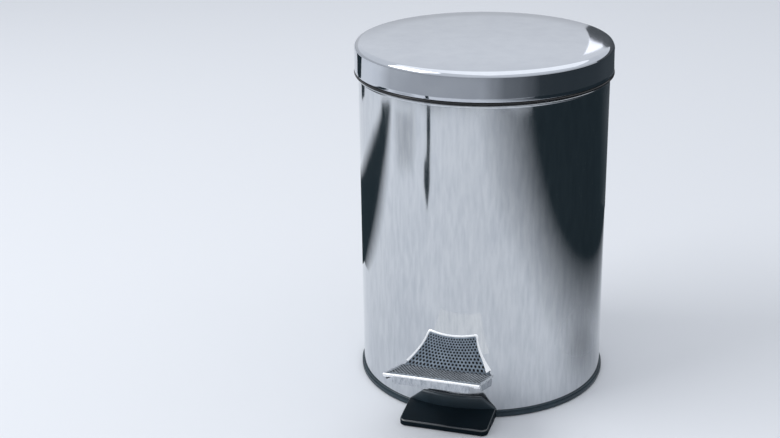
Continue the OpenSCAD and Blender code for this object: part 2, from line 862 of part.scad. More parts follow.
// bracket: moulding under the lid with two arms that reach back to the hinge pin and down to the crank pin
module lid_bracket() {
    color(black)
        difference() {
            union() {
                intersection() {
                    round_wall(bracket_wall_r - bracket_t, bracket_wall_r, lid_z + lid_hem_d * 1.3,
                               bracket_top);
                    box([-bracket_half, 0, 0], [bracket_half, big, big]);
                }
                box([-leaf_half, leaf_front, lid_under - seat - bracket_t],
                    [leaf_half, leaf_back, lid_under - seat]);
                mirrored()
                    translate([arm_in + arm_t / 2, 0, 0])
                        arm();
            }
            x_bar(hinge_pin_r + running_fit, -arm_out - 1, arm_out + 1, hinge_y, hinge_z);
            x_bar(crank_pin_r + fixed_fit, -arm_out - 1, arm_out + 1, crank_y, crank_z);
            for (s = [-1, 1])
                radial_bar(bracket_rivet_r + seat, sleeve_r / 2, big, s * rivet_angle, rivet_z);
        }
}

module arm() {
    inner_y = crank_y - crank_boss_r - 1;
    leaf_z = lid_under - bracket_t / 2;
    across(arm_t)
        union() {
            translate([hinge_y, hinge_z])
                circle(r = hinge_boss_r);
            translate([crank_y, crank_z])
                circle(r = crank_boss_r);
            polygon([[crank_y - crank_boss_r, crank_z], [inner_y, lid_z + rivet_up / 2],
                     [inner_y - arm_t, leaf_z], [leaf_back, leaf_z],
                     [bracket_wall_r - bracket_t / 2, bracket_top],
                     [bracket_wall_r - bracket_t / 2, lid_z + notch_h - notch_play],
                     [hinge_y - hinge_boss_r * 0.4, hinge_z + hinge_boss_r * 0.9],
                     [hinge_y + hinge_boss_r * 0.6, hinge_z - hinge_boss_r * 0.8],
                     [crank_y + crank_boss_r * 0.3, crank_z - crank_boss_r * 0.95]]);
        }
}

module bracket_rivets() {
    inner_r = bracket_wall_r - bracket_t;
    head_t = bracket_rivet_r * 0.7;
    color(steel)
        for (s = [-1, 1]) {
            radial_bar(bracket_rivet_r, inner_r - head_t / 2, lid_r + head_t / 2, s * rivet_angle, rivet_z);
            radial_bar(bracket_rivet_r * 1.8, lid_r + seat, lid_r + head_t, s * rivet_angle, rivet_z);
            radial_bar(bracket_rivet_r * 1.8, inner_r - head_t - rivet_dish, inner_r - rivet_dish,
                       s * rivet_angle, rivet_z);
        }
}

module crank_pin() {
    color(steel)
        x_bar(crank_pin_r, -arm_out, arm_out, crank_y, crank_z);
}

// bucket: tapered plastic pail with a stepped mouth and a flange that hangs on the rim ring
module bucket() {
    w = bucket_wall;
    base = bucket_z;
    foot = foot_round;
    color(grey)
        difference() {
            rotate_extrude($fn = 180)
                polygon([[0, base], [bucket_foot_r - foot, base], [bucket_foot_r, base + foot],
                         [bucket_waist_r, step_z - w - 1], [bucket_mouth_r, step_z - w + 1],
                         [bucket_mouth_r, flange_z], [bucket_flange_r, flange_z],
                         [bucket_flange_r, flange_top_z], [bucket_mouth_r - w, flange_top_z],
                         [bucket_mouth_r - w, step_z], [bucket_waist_r - w, step_z],
                         [bucket_foot_r - w, base + foot], [bucket_foot_r - w - foot, base + w],
                         [0, base + w]]);
            box([-bucket_notch, bucket_mouth_r + 0.1, flange_z - 1], [bucket_notch, big, big]);
            x_bar(bail_pin_r + running_fit, -big / 2, big / 2, 0, bail_z);
        }
}

// bail: bent wire that lies on the bucket's step, its ends turned out through the wall
module bail_wire() {
    chord_y = -bail_r * sin(bail_bend);
    chord_x = bail_r * cos(bail_bend);
    end_x = bucket_mouth_r + 0.7;
    color(steel) {
        intersection() {
            translate([0, 0, bail_z])
                rotate_extrude()
                    translate([bail_r, 0])
                        circle(r = wire_r);
            mirrored()
                box([chord_x, -big, 0], [big, 0, big]);
        }
        x_bar(chord_r, -chord_x - chord_r * 0.3, chord_x + chord_r * 0.3, chord_y, bail_z);
        mirrored() {
            x_bar(bail_pin_r, bail_r - bail_pin_r, end_x + 0.5, 0, bail_z);
            x_bar(bail_pin_r * 1.5, end_x, end_x + 1.5, 0, bail_z);
        }
    }
}

module bail_grip() {
    chord_y = -bail_r * sin(bail_bend);
    color(black)
        difference() {
            x_bar(grip_d / 2, -grip_l / 2, grip_l / 2, chord_y, bail_z);
            x_bar(chord_r + running_fit, -grip_l, grip_l, chord_y, bail_z);
        }
}

body_shell();
rim_ring();
base_ring();
foot_plate();
anti_slip_pads();
slot_trim();
lever_axle();
axle_caps();
rod_guide();
guide_rivets();
hinge_housing();
hinge_pin();
housing_screws();
housing_nuts();
pedal_lever();
pedal_pad();
rod_pin();
rod_clip();
push_rod();
lid_shell();
lid_bracket();
bracket_rivets();
crank_pin();
bucket();
bail_wire();
bail_grip();
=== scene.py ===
import math

import bmesh
import bpy
from mathutils import Matrix, Vector


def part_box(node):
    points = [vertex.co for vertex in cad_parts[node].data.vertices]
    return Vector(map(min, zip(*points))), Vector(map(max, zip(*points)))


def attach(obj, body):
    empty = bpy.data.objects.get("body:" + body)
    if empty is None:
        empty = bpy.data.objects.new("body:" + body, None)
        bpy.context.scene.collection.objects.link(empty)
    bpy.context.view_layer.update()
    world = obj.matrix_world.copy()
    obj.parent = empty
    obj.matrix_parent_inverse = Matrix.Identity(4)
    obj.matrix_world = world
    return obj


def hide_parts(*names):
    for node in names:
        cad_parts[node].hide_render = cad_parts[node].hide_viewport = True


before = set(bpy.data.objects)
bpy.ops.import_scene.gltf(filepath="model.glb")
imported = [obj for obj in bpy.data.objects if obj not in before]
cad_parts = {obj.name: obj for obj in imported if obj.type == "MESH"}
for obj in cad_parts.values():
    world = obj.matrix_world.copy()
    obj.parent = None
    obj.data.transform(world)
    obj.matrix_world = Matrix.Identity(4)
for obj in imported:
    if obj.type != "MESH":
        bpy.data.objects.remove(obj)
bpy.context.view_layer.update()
MM = 0.001

# ---------------------------------------------------------------- sizes of the bin, in millimetres
BIN_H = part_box("lid_shell")[1].z / MM
LID_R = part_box("lid_shell")[1].x / MM
LID_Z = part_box("lid_shell")[0].z / MM
LID_WALL = 0.6
SHOULDER_R = 4.4
LID_DRAFT = 0.25
HEM_R = 0.75
SLEEVE_R = 99.0
SLEEVE_WALL = 0.6
SLEEVE_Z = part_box("body_shell")[0].z / MM
BEAD_R = 1.5
BEAD_C = 98.5
BEAD_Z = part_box("body_shell")[1].z / MM - BEAD_R
SLOT_HALF = 10.75
WINDOW_HALF = 12.8
WINDOW_Z = 236.0
TRIM_LIP = 1.75
NOTCH_HALF = 9.1
NOTCH_H = 8.5
CUT_FROM = 60
CUT_TO = 140
AROUND = 240
PAD_LOW, PAD_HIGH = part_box("pedal_pad")
PAD_HALF = PAD_HIGH.x / MM
PAD_TOP = PAD_HIGH.z / MM
PAD_T = 0.9
TREAD_TILT = math.radians(18)
CREASE_R = 114.5
CREASE_Z = 46.5
TREAD_L = 46.0
BACK_TOP_HALF = 20.0
BACK_H = 28.0
BACK_DIP = 2.2
CORNER = 3.0
LEAN = 0.085
BACK_TOP_R = 103.0
BACK_LEAN = math.atan((CREASE_R - BACK_TOP_R) / BACK_H)
FRONT_V = CREASE_R + TREAD_L * math.cos(TREAD_TILT)
# a hair's breadth, which keeps faces out of each other's plane
HAIR = 0.02


# ---------------------------------------------------------------- making materials
def linear(code):
    """An sRGB hex colour as linear numbers with alpha 1."""
    parts = [int(code[i:i + 2], 16) / 255 for i in (1, 3, 5)]
    return [c / 12.92 if c <= 0.04045 else ((c + 0.055) / 1.055) ** 2.4 for c in parts] + [1.0]


def add(tree, kind, settings=None, *values, **named):
    """One node with its properties and inputs. An input is given in its order, by name or by number (_6). A
    socket, or a node for its first output, is linked to it, and anything else is set on it."""
    made = tree.nodes.new(kind)
    for name, value in (settings or {}).items():
        setattr(made, name, value)
    inputs = dict(enumerate(values))
    for name, value in named.items():
        inputs[int(name[1:]) if name[0] == "_" else name.replace("_", " ")] = value
    for key, value in inputs.items():
        if isinstance(value, bpy.types.Node):
            value = value.outputs[0]
        if isinstance(value, bpy.types.NodeSocket):
            tree.links.new(value, made.inputs[key])
        else:
            made.inputs[key].default_value = value
    return made


def new_material(name):
    made = bpy.data.materials.new(name)
    made.use_nodes = True
    made.node_tree.nodes.clear()
    return made, made.node_tree


def patterns(tree, *kinds):
    """Patterns in object space, each from a patch in mm, a stretch along x, y and z, detail and roughness."""
    place = add(tree, "ShaderNodeTexCoord").outputs["Object"]
    made = []
    for patch_mm, stretch, detail, rough in kinds:
        mapped = add(tree, "ShaderNodeMapping", Vector=place, Scale=[1000 / patch_mm * s for s in stretch])
        noise = add(tree, "ShaderNodeTexNoise", Vector=mapped, Scale=1.0, Detail=detail, Roughness=rough)
        made.append(noise.outputs["Fac"])
    return made


# a pattern's values crowd round its middle, so this range of them is spread over a whole colour or gloss
USUAL = {"From_Min": 0.3, "From_Max": 0.7}
STEEL_CLOUD = 45
PLASTIC_CLOUD = 20


def steel(name, light, dark, rough_low, rough_high, stretch, line_mm, streak_mm, strength, depth_mm):
    """Stainless steel sheet: bright, cool grey, with fine lines left by the brush and with wider, cloudy
    streaks from rolling and handling."""
    made, tree = new_material(name)
    lines, streaks, clouds = patterns(tree, (line_mm, stretch, 4.0, 0.6),
                                      (streak_mm, [min(1, 3 * s) for s in stretch], 3.0, 0.55),
                                      (STEEL_CLOUD, (1, 1, 0.35), 2.0, 0.55))
    tone = add(tree, "ShaderNodeMix", {"data_type": "FLOAT"}, 0.35, _2=streaks, _3=clouds)
    tint = add(tree, "ShaderNodeMapRange", Value=tone, From_Min=0.36, From_Max=0.62)
    colour = add(tree, "ShaderNodeMix", {"data_type": "RGBA"}, tint, _6=linear(dark), _7=linear(light))
    wear = add(tree, "ShaderNodeMix", {"data_type": "FLOAT"}, 0.5, _2=lines, _3=streaks)
    gloss = add(tree, "ShaderNodeMapRange", Value=wear, To_Min=rough_low, To_Max=rough_high, **USUAL)
    relief = add(tree, "ShaderNodeBump", Strength=strength, Distance=depth_mm * MM, Height=lines)
    shader = add(tree, "ShaderNodeBsdfPrincipled", Metallic=1.0, Base_Color=colour.outputs[2],
                 Roughness=gloss, Normal=relief)
    add(tree, "ShaderNodeOutputMaterial", Surface=shader)
    return made


def plastic(name, light, dark, rough_low, rough_high, grain_mm, strength, depth_mm, specular=0.5):
    """Moulded plastic: an even colour with the fine grain of the mould and slightly uneven gloss."""
    made, tree = new_material(name)
    fine, clouds = patterns(tree, (grain_mm, (1, 1, 1), 3.0, 0.55), (PLASTIC_CLOUD, (1, 1, 1), 2.0, 0.55))
    tint = add(tree, "ShaderNodeMapRange", Value=clouds, **USUAL)
    colour = add(tree, "ShaderNodeMix", {"data_type": "RGBA"}, tint, _6=linear(dark), _7=linear(light))
    gloss = add(tree, "ShaderNodeMapRange", Value=clouds, To_Min=rough_low, To_Max=rough_high, **USUAL)
    relief = add(tree, "ShaderNodeBump", Strength=strength, Distance=depth_mm * MM, Height=fine)
    shader = add(tree, "ShaderNodeBsdfPrincipled", IOR=1.49, Specular_IOR_Level=specular,
                 Base_Color=colour.outputs[2], Roughness=gloss, Normal=relief)
    add(tree, "ShaderNodeOutputMaterial", Surface=shader)
    return made


# stainless sheet of the sleeve, ground up and down: reflections stay clear but carry faint upright streaks;
# the real lines are about 0.05 mm wide and are drawn ten times as coarse, so that they show
sleeve_steel = steel("brushed_stainless_sleeve", "#D1D4D7", "#C0C4C9", 0.05, 0.11, (1, 1, 0.05), 0.9, 3.0,
                     0.10, 0.02)
# stainless sheet of the lid, stamped and polished: smoother than the sleeve
lid_steel = steel("polished_stainless_lid", "#CACED4", "#C3C7CE", 0.03, 0.05, (1, 1, 1), 2.5, 14, 0.03, 0.01)
# folded edge of the pedal: its colour set near white, above what steel reflects, as a painted highlight along
# every fold; the brightest steel of the bin
edge_steel = steel("stainless_edge_painted_highlight", "#FBFCFD", "#F4F6F8", 0.24, 0.32, (1, 1, 1), 1.5, 6, 0.03, 0.01)
# turned-down skirt and flanges of the pedal, as rolled: cloudy grey with upright drawing marks
skirt_steel = steel("rolled_stainless_skirt", "#C2C6CB", "#959BA2", 0.22, 0.36, (1, 0.3, 0.12), 0.9, 2.2,
                    0.20, 0.03)
# perforated sheet of the pedal where shoes tread on it: lighter than the same sheet on the back
tread_steel = steel("light_stainless_tread", "#D2D7DC", "#A6ADB4", 0.30, 0.40, (1, 1, 1), 0.8, 5, 0.15, 0.02)
# the same sheet in the bend at the foot of the back: dull, and painted dark as shade in the crease
bend_shade_steel = steel("stainless_bend_painted_shade", "#6A737C", "#525A62", 0.40, 0.52, (1, 1, 1), 0.8, 5, 0.15, 0.02)
# the same sheet on the back and the rim: greyer than the tread
punched_steel = steel("punched_stainless_tread", "#8A95A0", "#6E7984", 0.30, 0.42, (1, 1, 1), 0.8, 5,
                      0.15, 0.02)
# lever, rod and pins, zinc plated: soft grey gloss with slight bloom
zinc_steel = steel("zinc_plated_steel", "#B4B8BC", "#9DA1A6", 0.28, 0.42, (1, 1, 1), 1.2, 6, 0.10, 0.02)
# rivets, screws and wire, turned and nickel plated: bright and smooth
bright_steel = steel("nickel_plated_fasteners", "#D9DADB", "#C9CBCE", 0.14, 0.22, (1, 1, 1), 0.8, 4,
                     0.08, 0.01)
# rim ring, injection moulded in a polished mould: deep black gloss
gloss_black = plastic("glossy_black_abs", "#0F1316", "#0B0E11", 0.18, 0.26, 0.9, 0.04, 0.01, 0.3)
# base, hinge and trims, moulded polypropylene: satin black with a fine grain
satin_black = plastic("satin_black_polypropylene", "#111A20", "#0D151A", 0.32, 0.42, 0.5, 0.12, 0.03, 0.28)
# base ring of the same plastic, dulled by floor dust and cleaning: dark slate
dusty_black = plastic("dusty_black_polypropylene", "#34434B", "#2B3840", 0.36, 0.46, 0.5, 0.12, 0.03, 0.35)
# foot plate, moulded polypropylene with a finely eroded face: nearly matt, so that it stays dark when lit
foot_black = plastic("matt_black_foot_plate", "#131E25", "#0F181E", 0.50, 0.62, 0.5, 0.20, 0.04, 0.05)
# its rounded rim, rubbed smooth by shoes and floor cloths: glossier, and a shade lighter as a painted
# highlight, a fine light line all round
rim_black_highlight = plastic("rubbed_black_rim_painted_highlight", "#1C272E", "#141D23", 0.16, 0.24, 0.6, 0.05, 0.02, 1.0)
# its riser, moulded upright against a polished face: a little glossier than the step, and painted lighter
# than it, as light on its upright face
riser_black_lit = plastic("black_riser_painted_light", "#2A3A43", "#212E36", 0.30, 0.40, 0.6, 0.10, 0.03, 0.5)
# painted shade in the pedal's holes: dull black on their walls and on a sheet under the perforated sheet,
# standing in for the shadow in every hole
hole_shade_black = plastic("painted_hole_shade_black", "#0E1114", "#090B0D", 0.70, 0.85, 0.7, 0.20, 0.04, 0.2)
# bucket, moulded polypropylene: dark grey, softly matt
bucket_grey = plastic("matt_grey_polypropylene", "#44484C", "#3A3E42", 0.42, 0.55, 0.6, 0.15, 0.03)
# anti-slip ring and pads, soft rubber: matt black with a powdery face
soft_rubber = plastic("soft_black_rubber", "#222325", "#191A1C", 0.70, 0.85, 0.4, 0.30, 0.05)

CAD_FINISHES = {
    gloss_black: ["rim_ring"],
    dusty_black: ["base_ring"],
    satin_black: ["slot_trim", "rod_guide", "hinge_housing", "lid_bracket", "bail_grip", "foot_plate"],
    soft_rubber: ["anti_slip_pads"],
    zinc_steel: ["lever_axle", "axle_caps", "housing_nuts", "pedal_lever", "rod_pin", "rod_clip",
                 "push_rod"],
    bright_steel: ["guide_rivets", "hinge_pin", "housing_screws", "bracket_rivets", "crank_pin",
                   "bail_wire"],
    bucket_grey: ["bucket"],
    sleeve_steel: ["body_shell"],
    lid_steel: ["lid_shell"],
    punched_steel: ["pedal_pad"],
}
for finish, nodes in CAD_FINISHES.items():
    for node_name in nodes:
        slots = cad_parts[node_name].data.materials
        slots.clear()
        slots.append(finish)


# ---------------------------------------------------------------- making meshes
def piece(name, mesh, *materials):
    made = bpy.data.objects.new(name, mesh)
    bpy.context.scene.collection.objects.link(made)
    for one in materials:
        mesh.materials.append(one)
    return made


def baked(thing):
    """The object's modifiers turned into its mesh."""
    graph = bpy.context.evaluated_depsgraph_get()
    mesh = bpy.data.meshes.new_from_object(thing.evaluated_get(graph))
    thing.modifiers.clear()
    old = thing.data
    thing.data = mesh
    mesh.name = thing.name
    bpy.data.meshes.remove(old)
    return thing


def smooth(mesh, angle=35):
    mesh.shade_smooth()
    mesh.set_sharp_from_angle(angle=math.radians(angle))


def arc(cx, cz, r, a0, a1, steps):
    """Points on a circle from angle a0 to a1, in degrees."""
    return [(cx + r * math.cos(math.radians(a0 + (a1 - a0) * i / steps)),
             cz + r * math.sin(math.radians(a0 + (a1 - a0) * i / steps))) for i in range(steps + 1)]


def turned(name, section):
    """A closed half section (radius, height in mm) turned about the bin's axis; radius 0 makes a pole."""
    work = bmesh.new()
    rings = []
    for r, z in section:
        if r < 1e-6:
            rings.append([work.verts.new((0, 0, z * MM))] * AROUND)
            continue
        ring = []
        for i in range(AROUND):
            a = 2 * math.pi * i / AROUND
            ring.append(work.verts.new((r * math.sin(a) * MM, r * math.cos(a) * MM, z * MM)))
        rings.append(ring)
    count = len(rings)
    closed = section[0][0] > 1e-6
    for k in range(count if closed else count - 1):
        low, high = rings[k], rings[(k + 1) % count]
        for i in range(AROUND):
            j = (i + 1) % AROUND
            corners = []
            for v in (low[i], low[j], high[j], high[i]):
                if v not in corners:
                    corners.append(v)
            if len(corners) > 2:
                work.faces.new(corners)
    bmesh.ops.recalc_face_normals(work, faces=work.faces)
    mesh = bpy.data.meshes.new(name)
    work.to_mesh(mesh)
    work.free()
    return mesh


def block(name, low, high):
    """A cutting block from corner to corner, in mm."""
    mesh = bpy.data.meshes.new(name)
    work = bmesh.new()
    bmesh.ops.create_cube(work, size=1.0)
    for v in work.verts:
        v.co = [(low[i] + (v.co[i] + 0.5) * (high[i] - low[i])) * MM for i in range(3)]
    work.to_mesh(mesh)
    work.free()
    return piece(name, mesh)


def cut(thing, *blocks):
    for one in blocks:
        mod = thing.modifiers.new("opening", "BOOLEAN")
        mod.operation = "DIFFERENCE"
        mod.solver = "EXACT"
        mod.object = one
    baked(thing)
    for one in blocks:
        bpy.data.objects.remove(one, do_unlink=True)
    return thing


# ---------------------------------------------------------------- sleeve
# rolled tube with a bead round its top
bead_low = math.degrees(math.asin(math.sqrt(1 - ((SLEEVE_R - BEAD_C) / BEAD_R) ** 2)))
sleeve_in = SLEEVE_R - SLEEVE_WALL
levels = [SLEEVE_Z + 0.2] + [SLEEVE_Z + (BEAD_Z - 2 - SLEEVE_Z) * i / 8 for i in range(1, 9)]
sleeve_section = ([(SLEEVE_R - 0.15, SLEEVE_Z)] + [(SLEEVE_R, z) for z in levels]
                  + arc(BEAD_C, BEAD_Z, BEAD_R, -bead_low, 264, 26)
                  + [(sleeve_in, z) for z in reversed(levels)] + [(sleeve_in + 0.15, SLEEVE_Z)])
sleeve = piece("sleeve", turned("sleeve", sleeve_section), sleeve_steel)
trim_low, trim_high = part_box("slot_trim")
slot_z0 = trim_low.z / MM + TRIM_LIP
slot_z1 = trim_high.z / MM - TRIM_LIP
cut(sleeve,
    block("slot_cut", (-SLOT_HALF, -CUT_TO, slot_z0), (SLOT_HALF, -CUT_FROM, slot_z1)),
    block("window_cut", (-WINDOW_HALF, CUT_FROM, WINDOW_Z), (WINDOW_HALF, CUT_TO, 300)))
smooth(sleeve.data)
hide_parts("body_shell")
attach(sleeve, "bin")

# ---------------------------------------------------------------- lid
# stamped cap: flat top, round shoulder, straight skirt with a hem turned inwards
lid_in = LID_R - LID_WALL
shoulder_c = LID_R - LID_DRAFT - SHOULDER_R
shoulder_z = BIN_H - SHOULDER_R
lid_section = ([(0, BIN_H), (40, BIN_H), (80, BIN_H)]
               + arc(shoulder_c, shoulder_z, SHOULDER_R, 90, 0, 14)
               + [(LID_R - LID_DRAFT * (z - LID_Z) / (shoulder_z - LID_Z), z)
                  for z in (BIN_H - 9, BIN_H - 14, BIN_H - 19)]
               + arc(LID_R - HEM_R, LID_Z + HEM_R, HEM_R, 0, -180, 10)
               + [(lid_in - 0.9, LID_Z + 1.5), (lid_in, LID_Z + 1.8), (lid_in, BIN_H - 13)]
               + arc(shoulder_c, shoulder_z, SHOULDER_R - LID_WALL, 0, 90, 8)
               + [(60, BIN_H - LID_WALL), (0, BIN_H - LID_WALL)])
lid = piece("lid_cap", turned("lid_cap", lid_section), lid_steel)
cut(lid, block("notch_cut", (-NOTCH_HALF, CUT_FROM, LID_Z - 2), (NOTCH_HALF, CUT_TO, LID_Z + NOTCH_H)))
smooth(lid.data)
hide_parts("lid_shell")
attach(lid, "lid")


# ---------------------------------------------------------------- pedal pad
def tread_z(v):
    return CREASE_Z + (v - CREASE_R) * math.tan(TREAD_TILT)


BACK_FACE_R = CREASE_R + PAD_T / math.cos(BACK_LEAN)


def crease_v(u):
    """Where the tread's plane meets the back's cone, as a distance in front of the bin's axis."""
    v = CREASE_R
    for _ in range(12):
        r = BACK_FACE_R - (tread_z(v) - CREASE_Z) * math.tan(BACK_LEAN)
        v = math.sqrt(r * r - u * u)
    return v


BACK_L = (PAD_TOP - BACK_DIP - tread_z(crease_v(0))) / math.cos(BACK_LEAN)
BEND_R = 1.2
TURN = math.pi / 2 - BACK_LEAN + TREAD_TILT
BEND_D = BEND_R * math.tan(TURN / 2)
RELIEF_DEPTH = 2.4
RELIEF_Q = 0.8
RELIEF_HALF = 1.7


def back_half(q):
    """Half the width of the pad at q: -TREAD_L at the front, 0 at the crease and BACK_L on top."""
    if q <= 0:
        return PAD_HALF
    share = min(1.0, q / BACK_L)
    return BACK_TOP_HALF + (PAD_HALF - BACK_TOP_HALF) * (1 - share) ** 1.75


def edge_half(q):
    """The same with the relief cut at the bend and the rounded upper corners."""
    half = back_half(q) - RELIEF_DEPTH * math.exp(-((q - RELIEF_Q) / RELIEF_HALF) ** 4)
    into = q - (BACK_L - CORNER)
    return half if into <= 0 else half - CORNER + math.sqrt(max(CORNER ** 2 - into ** 2, 0.0))


def pad_point(u, q, depth=0.0):
    """A place on the pad's upper face, depth mm below it."""
    vc = crease_v(u)
    zc = tread_z(vc)
    run = (FRONT_V - vc) / math.cos(TREAD_TILT) / TREAD_L
    top = PAD_TOP - BACK_DIP * (1 - min(1.0, abs(u) / BACK_TOP_HALF) ** 2)
    rise = (top - zc) / math.cos(BACK_LEAN) / BACK_L
    t = q * run if q < 0 else q * rise
    fore = Vector((math.cos(TREAD_TILT), math.sin(TREAD_TILT)))
    # use has bent the back a little to one side
    u += LEAN * max(0.0, q)

    def on_back(s):
        z = zc + s * math.cos(BACK_LEAN)
        r = BACK_FACE_R - (z - CREASE_Z) * math.tan(BACK_LEAN)
        return Vector((math.sqrt(max(r * r - u * u, 0.0)), z))

    if t < -BEND_D:
        p = Vector((vc, zc)) + fore * (-t)
        n = Vector((-fore.y, fore.x))
    elif t > BEND_D:
        p = on_back(t)
        d = (on_back(t + 0.01) - p).normalized()
        n = Vector((d.y, -d.x))
    else:
        a = Vector((vc, zc)) + fore * BEND_D
        b = on_back(BEND_D)
        c = Vector((vc, zc))
        k = (t + BEND_D) / (2 * BEND_D)
        p = a * (1 - k) ** 2 + c * 2 * k * (1 - k) + b * k * k
        d = ((c - a) * (1 - k) + (b - c) * k).normalized()
        n = Vector((d.y, -d.x))
    p = p - n * depth
    return Vector((u * MM, -p.x * MM, p.y * MM))


def tree_with(name, sockets):
    """A Geometry Nodes tree with a geometry input and output and the named inputs."""
    made = bpy.data.node_groups.new(name, "GeometryNodeTree")
    made.interface.new_socket("Geometry", in_out="INPUT", socket_type="NodeSocketGeometry")
    made.interface.new_socket("Geometry", in_out="OUTPUT", socket_type="NodeSocketGeometry")
    for label, kind in sockets:
        made.interface.new_socket(label, in_out="INPUT", socket_type=kind)
    return made, made.nodes.new("NodeGroupInput"), made.nodes.new("NodeGroupOutput")


def run_tree(thing, made, values):
    mod = thing.modifiers.new(made.name, "NODES")
    mod.node_group = made
    for item in made.interface.items_tree:
        if item.item_type == "SOCKET" and item.in_out == "INPUT" and item.name in values:
            mod[item.identifier] = values[item.name]
    return baked(thing)


def perforation_tree():
    """A flat field of six-sided cells, each with a round hole, in staggered rows."""
    tree, given, result = tree_with("punched_field", [
        ("Pitch", "NodeSocketFloat"), ("Hole Radius", "NodeSocketFloat"), ("Columns", "NodeSocketInt"),
        ("Rows", "NodeSocketInt"), ("Sheet", "NodeSocketMaterial")])
    times, plus, minus, over = ({"operation": word} for word in ("MULTIPLY", "ADD", "SUBTRACT", "DIVIDE"))
    pitch, hole = given.outputs["Pitch"], given.outputs["Hole Radius"]
    columns, rows = given.outputs["Columns"], given.outputs["Rows"]
    # one cell: twelve corners round a hole, with every second outer one pushed out to make it six-sided
    half = add(tree, "ShaderNodeMath", times, pitch, 0.5)
    cell = add(tree, "GeometryNodeMeshCone", {"fill_type": "NONE"}, Vertices=12, Radius_Top=hole,
               Radius_Bottom=half, Depth=0.0)
    here = add(tree, "GeometryNodeInputPosition")
    parts = add(tree, "ShaderNodeSeparateXYZ", Vector=here)
    turn = add(tree, "ShaderNodeMath", {"operation": "ARCTAN2"}, parts.outputs["Y"], parts.outputs["X"])
    twelfths = add(tree, "ShaderNodeMath", over, turn, math.pi / 6)
    corner = add(tree, "ShaderNodeMath", {"operation": "ROUND"}, twelfths)
    counted = add(tree, "ShaderNodeMath", {"operation": "ABSOLUTE"}, corner)
    odd = add(tree, "ShaderNodeMath", {"operation": "MODULO"}, counted, 2.0)
    reach = add(tree, "ShaderNodeVectorMath", {"operation": "LENGTH"}, here).outputs["Value"]
    both = add(tree, "ShaderNodeMath", plus, half, hole)
    middle = add(tree, "ShaderNodeMath", times, both, 0.5)
    outer = add(tree, "ShaderNodeMath", {"operation": "GREATER_THAN"}, reach, middle)
    chosen = add(tree, "ShaderNodeMath", times, odd, outer)
    grow = add(tree, "ShaderNodeMath", times, chosen, 1 / math.cos(math.pi / 6) - 1)
    push = add(tree, "ShaderNodeVectorMath", {"operation": "SCALE"}, here, Scale=grow)
    shaped = add(tree, "GeometryNodeSetPosition", Geometry=cell, Offset=push)
    # the places of the cells: a grid with every second row moved by half a pitch
    row_gap = add(tree, "ShaderNodeMath", times, pitch, math.cos(math.pi / 6))
    column_steps = add(tree, "ShaderNodeMath", minus, columns, 1.0)
    across = add(tree, "ShaderNodeMath", times, pitch, column_steps)
    row_steps = add(tree, "ShaderNodeMath", minus, rows, 1.0)
    along = add(tree, "ShaderNodeMath", times, row_gap, row_steps)
    grid = add(tree, "GeometryNodeMeshGrid", Size_X=across, Size_Y=along, Vertices_X=columns, Vertices_Y=rows)
    spot = add(tree, "ShaderNodeSeparateXYZ", Vector=add(tree, "GeometryNodeInputPosition"))
    half_along = add(tree, "ShaderNodeMath", times, along, 0.5)
    from_first = add(tree, "ShaderNodeMath", plus, spot.outputs["Y"], half_along)
    row_place = add(tree, "ShaderNodeMath", over, from_first, row_gap)
    row = add(tree, "ShaderNodeMath", {"operation": "ROUND"}, row_place)
    second = add(tree, "ShaderNodeMath", {"operation": "MODULO"}, row, 2.0)
    side = add(tree, "ShaderNodeMath", times, second, half)
    step = add(tree, "ShaderNodeCombineXYZ", X=side)
    places = add(tree, "GeometryNodeSetPosition", Geometry=grid, Offset=step)
    dots = add(tree, "GeometryNodeMeshToPoints", Mesh=places)
    copies = add(tree, "GeometryNodeInstanceOnPoints", Points=dots, Instance=shaped)
    real = add(tree, "GeometryNodeRealizeInstances", Geometry=copies)
    merged = add(tree, "GeometryNodeMergeByDistance", Geometry=real, Distance=0.00002)
    dressed = add(tree, "GeometryNodeSetMaterial", Geometry=merged, Material=given.outputs["Sheet"])
    tree.links.new(dressed.outputs[0], result.inputs[0])
    return tree


def bead_tree():
    """A round bead that follows a line."""
    tree, given, result = tree_with("folded_edge", [("Radius", "NodeSocketFloat"),
                                                    ("Sheet", "NodeSocketMaterial")])
    line = add(tree, "GeometryNodeMeshToCurve", Mesh=given)
    ring = add(tree, "GeometryNodeCurvePrimitiveCircle", Resolution=10, Radius=given.outputs["Radius"])
    tube = add(tree, "GeometryNodeCurveToMesh", Curve=line, Profile_Curve=ring, Fill_Caps=True)
    real = add(tree, "GeometryNodeRealizeInstances", Geometry=tube)
    dressed = add(tree, "GeometryNodeSetMaterial", Geometry=real, Material=given.outputs["Sheet"])
    tree.links.new(dressed.outputs[0], result.inputs[0])
    return tree


HOLE_PITCH = 3.1
HOLE_R = 1.02
WORN_OPEN = 1.2
SQUEEZE = 0.37
PLAIN_FRONT = 8.0
PLAIN_RIM = 1.7
SHEET_INSET = 0.7
BEND_FROM = -1
BEND_TO = 1.5
ROW_GAP = HOLE_PITCH * math.cos(math.pi / 6)
PATTERN_L = -BACK_L / SQUEEZE * math.log(1 - SQUEEZE)
field = piece("punched_field", bpy.data.meshes.new("punched_field"))
columns = int(2 * PAD_HALF / HOLE_PITCH) + 4
rows = int((TREAD_L + PATTERN_L) / ROW_GAP) + 2
run_tree(field, perforation_tree(), {"Pitch": HOLE_PITCH * MM, "Hole Radius": HOLE_R * MM, "Columns": columns,
                                     "Rows": rows, "Sheet": punched_steel})


def drawn(x, y):
    """Where a place of the flat field goes: the pattern shrinks towards the top of the back."""
    p = y + (PATTERN_L - TREAD_L) / 2
    q = p if p < 0 else BACK_L / SQUEEZE * (1 - math.exp(-SQUEEZE * p / BACK_L))
    return x * (1 - SQUEEZE * max(0.0, q) / BACK_L), q


def is_plain(u, q):
    """Whether a hole that reaches this place is left out, to keep the rim of the sheet whole."""
    return q < PLAIN_FRONT - TREAD_L or q > BACK_L - PLAIN_RIM or abs(u) > edge_half(q) - PLAIN_RIM


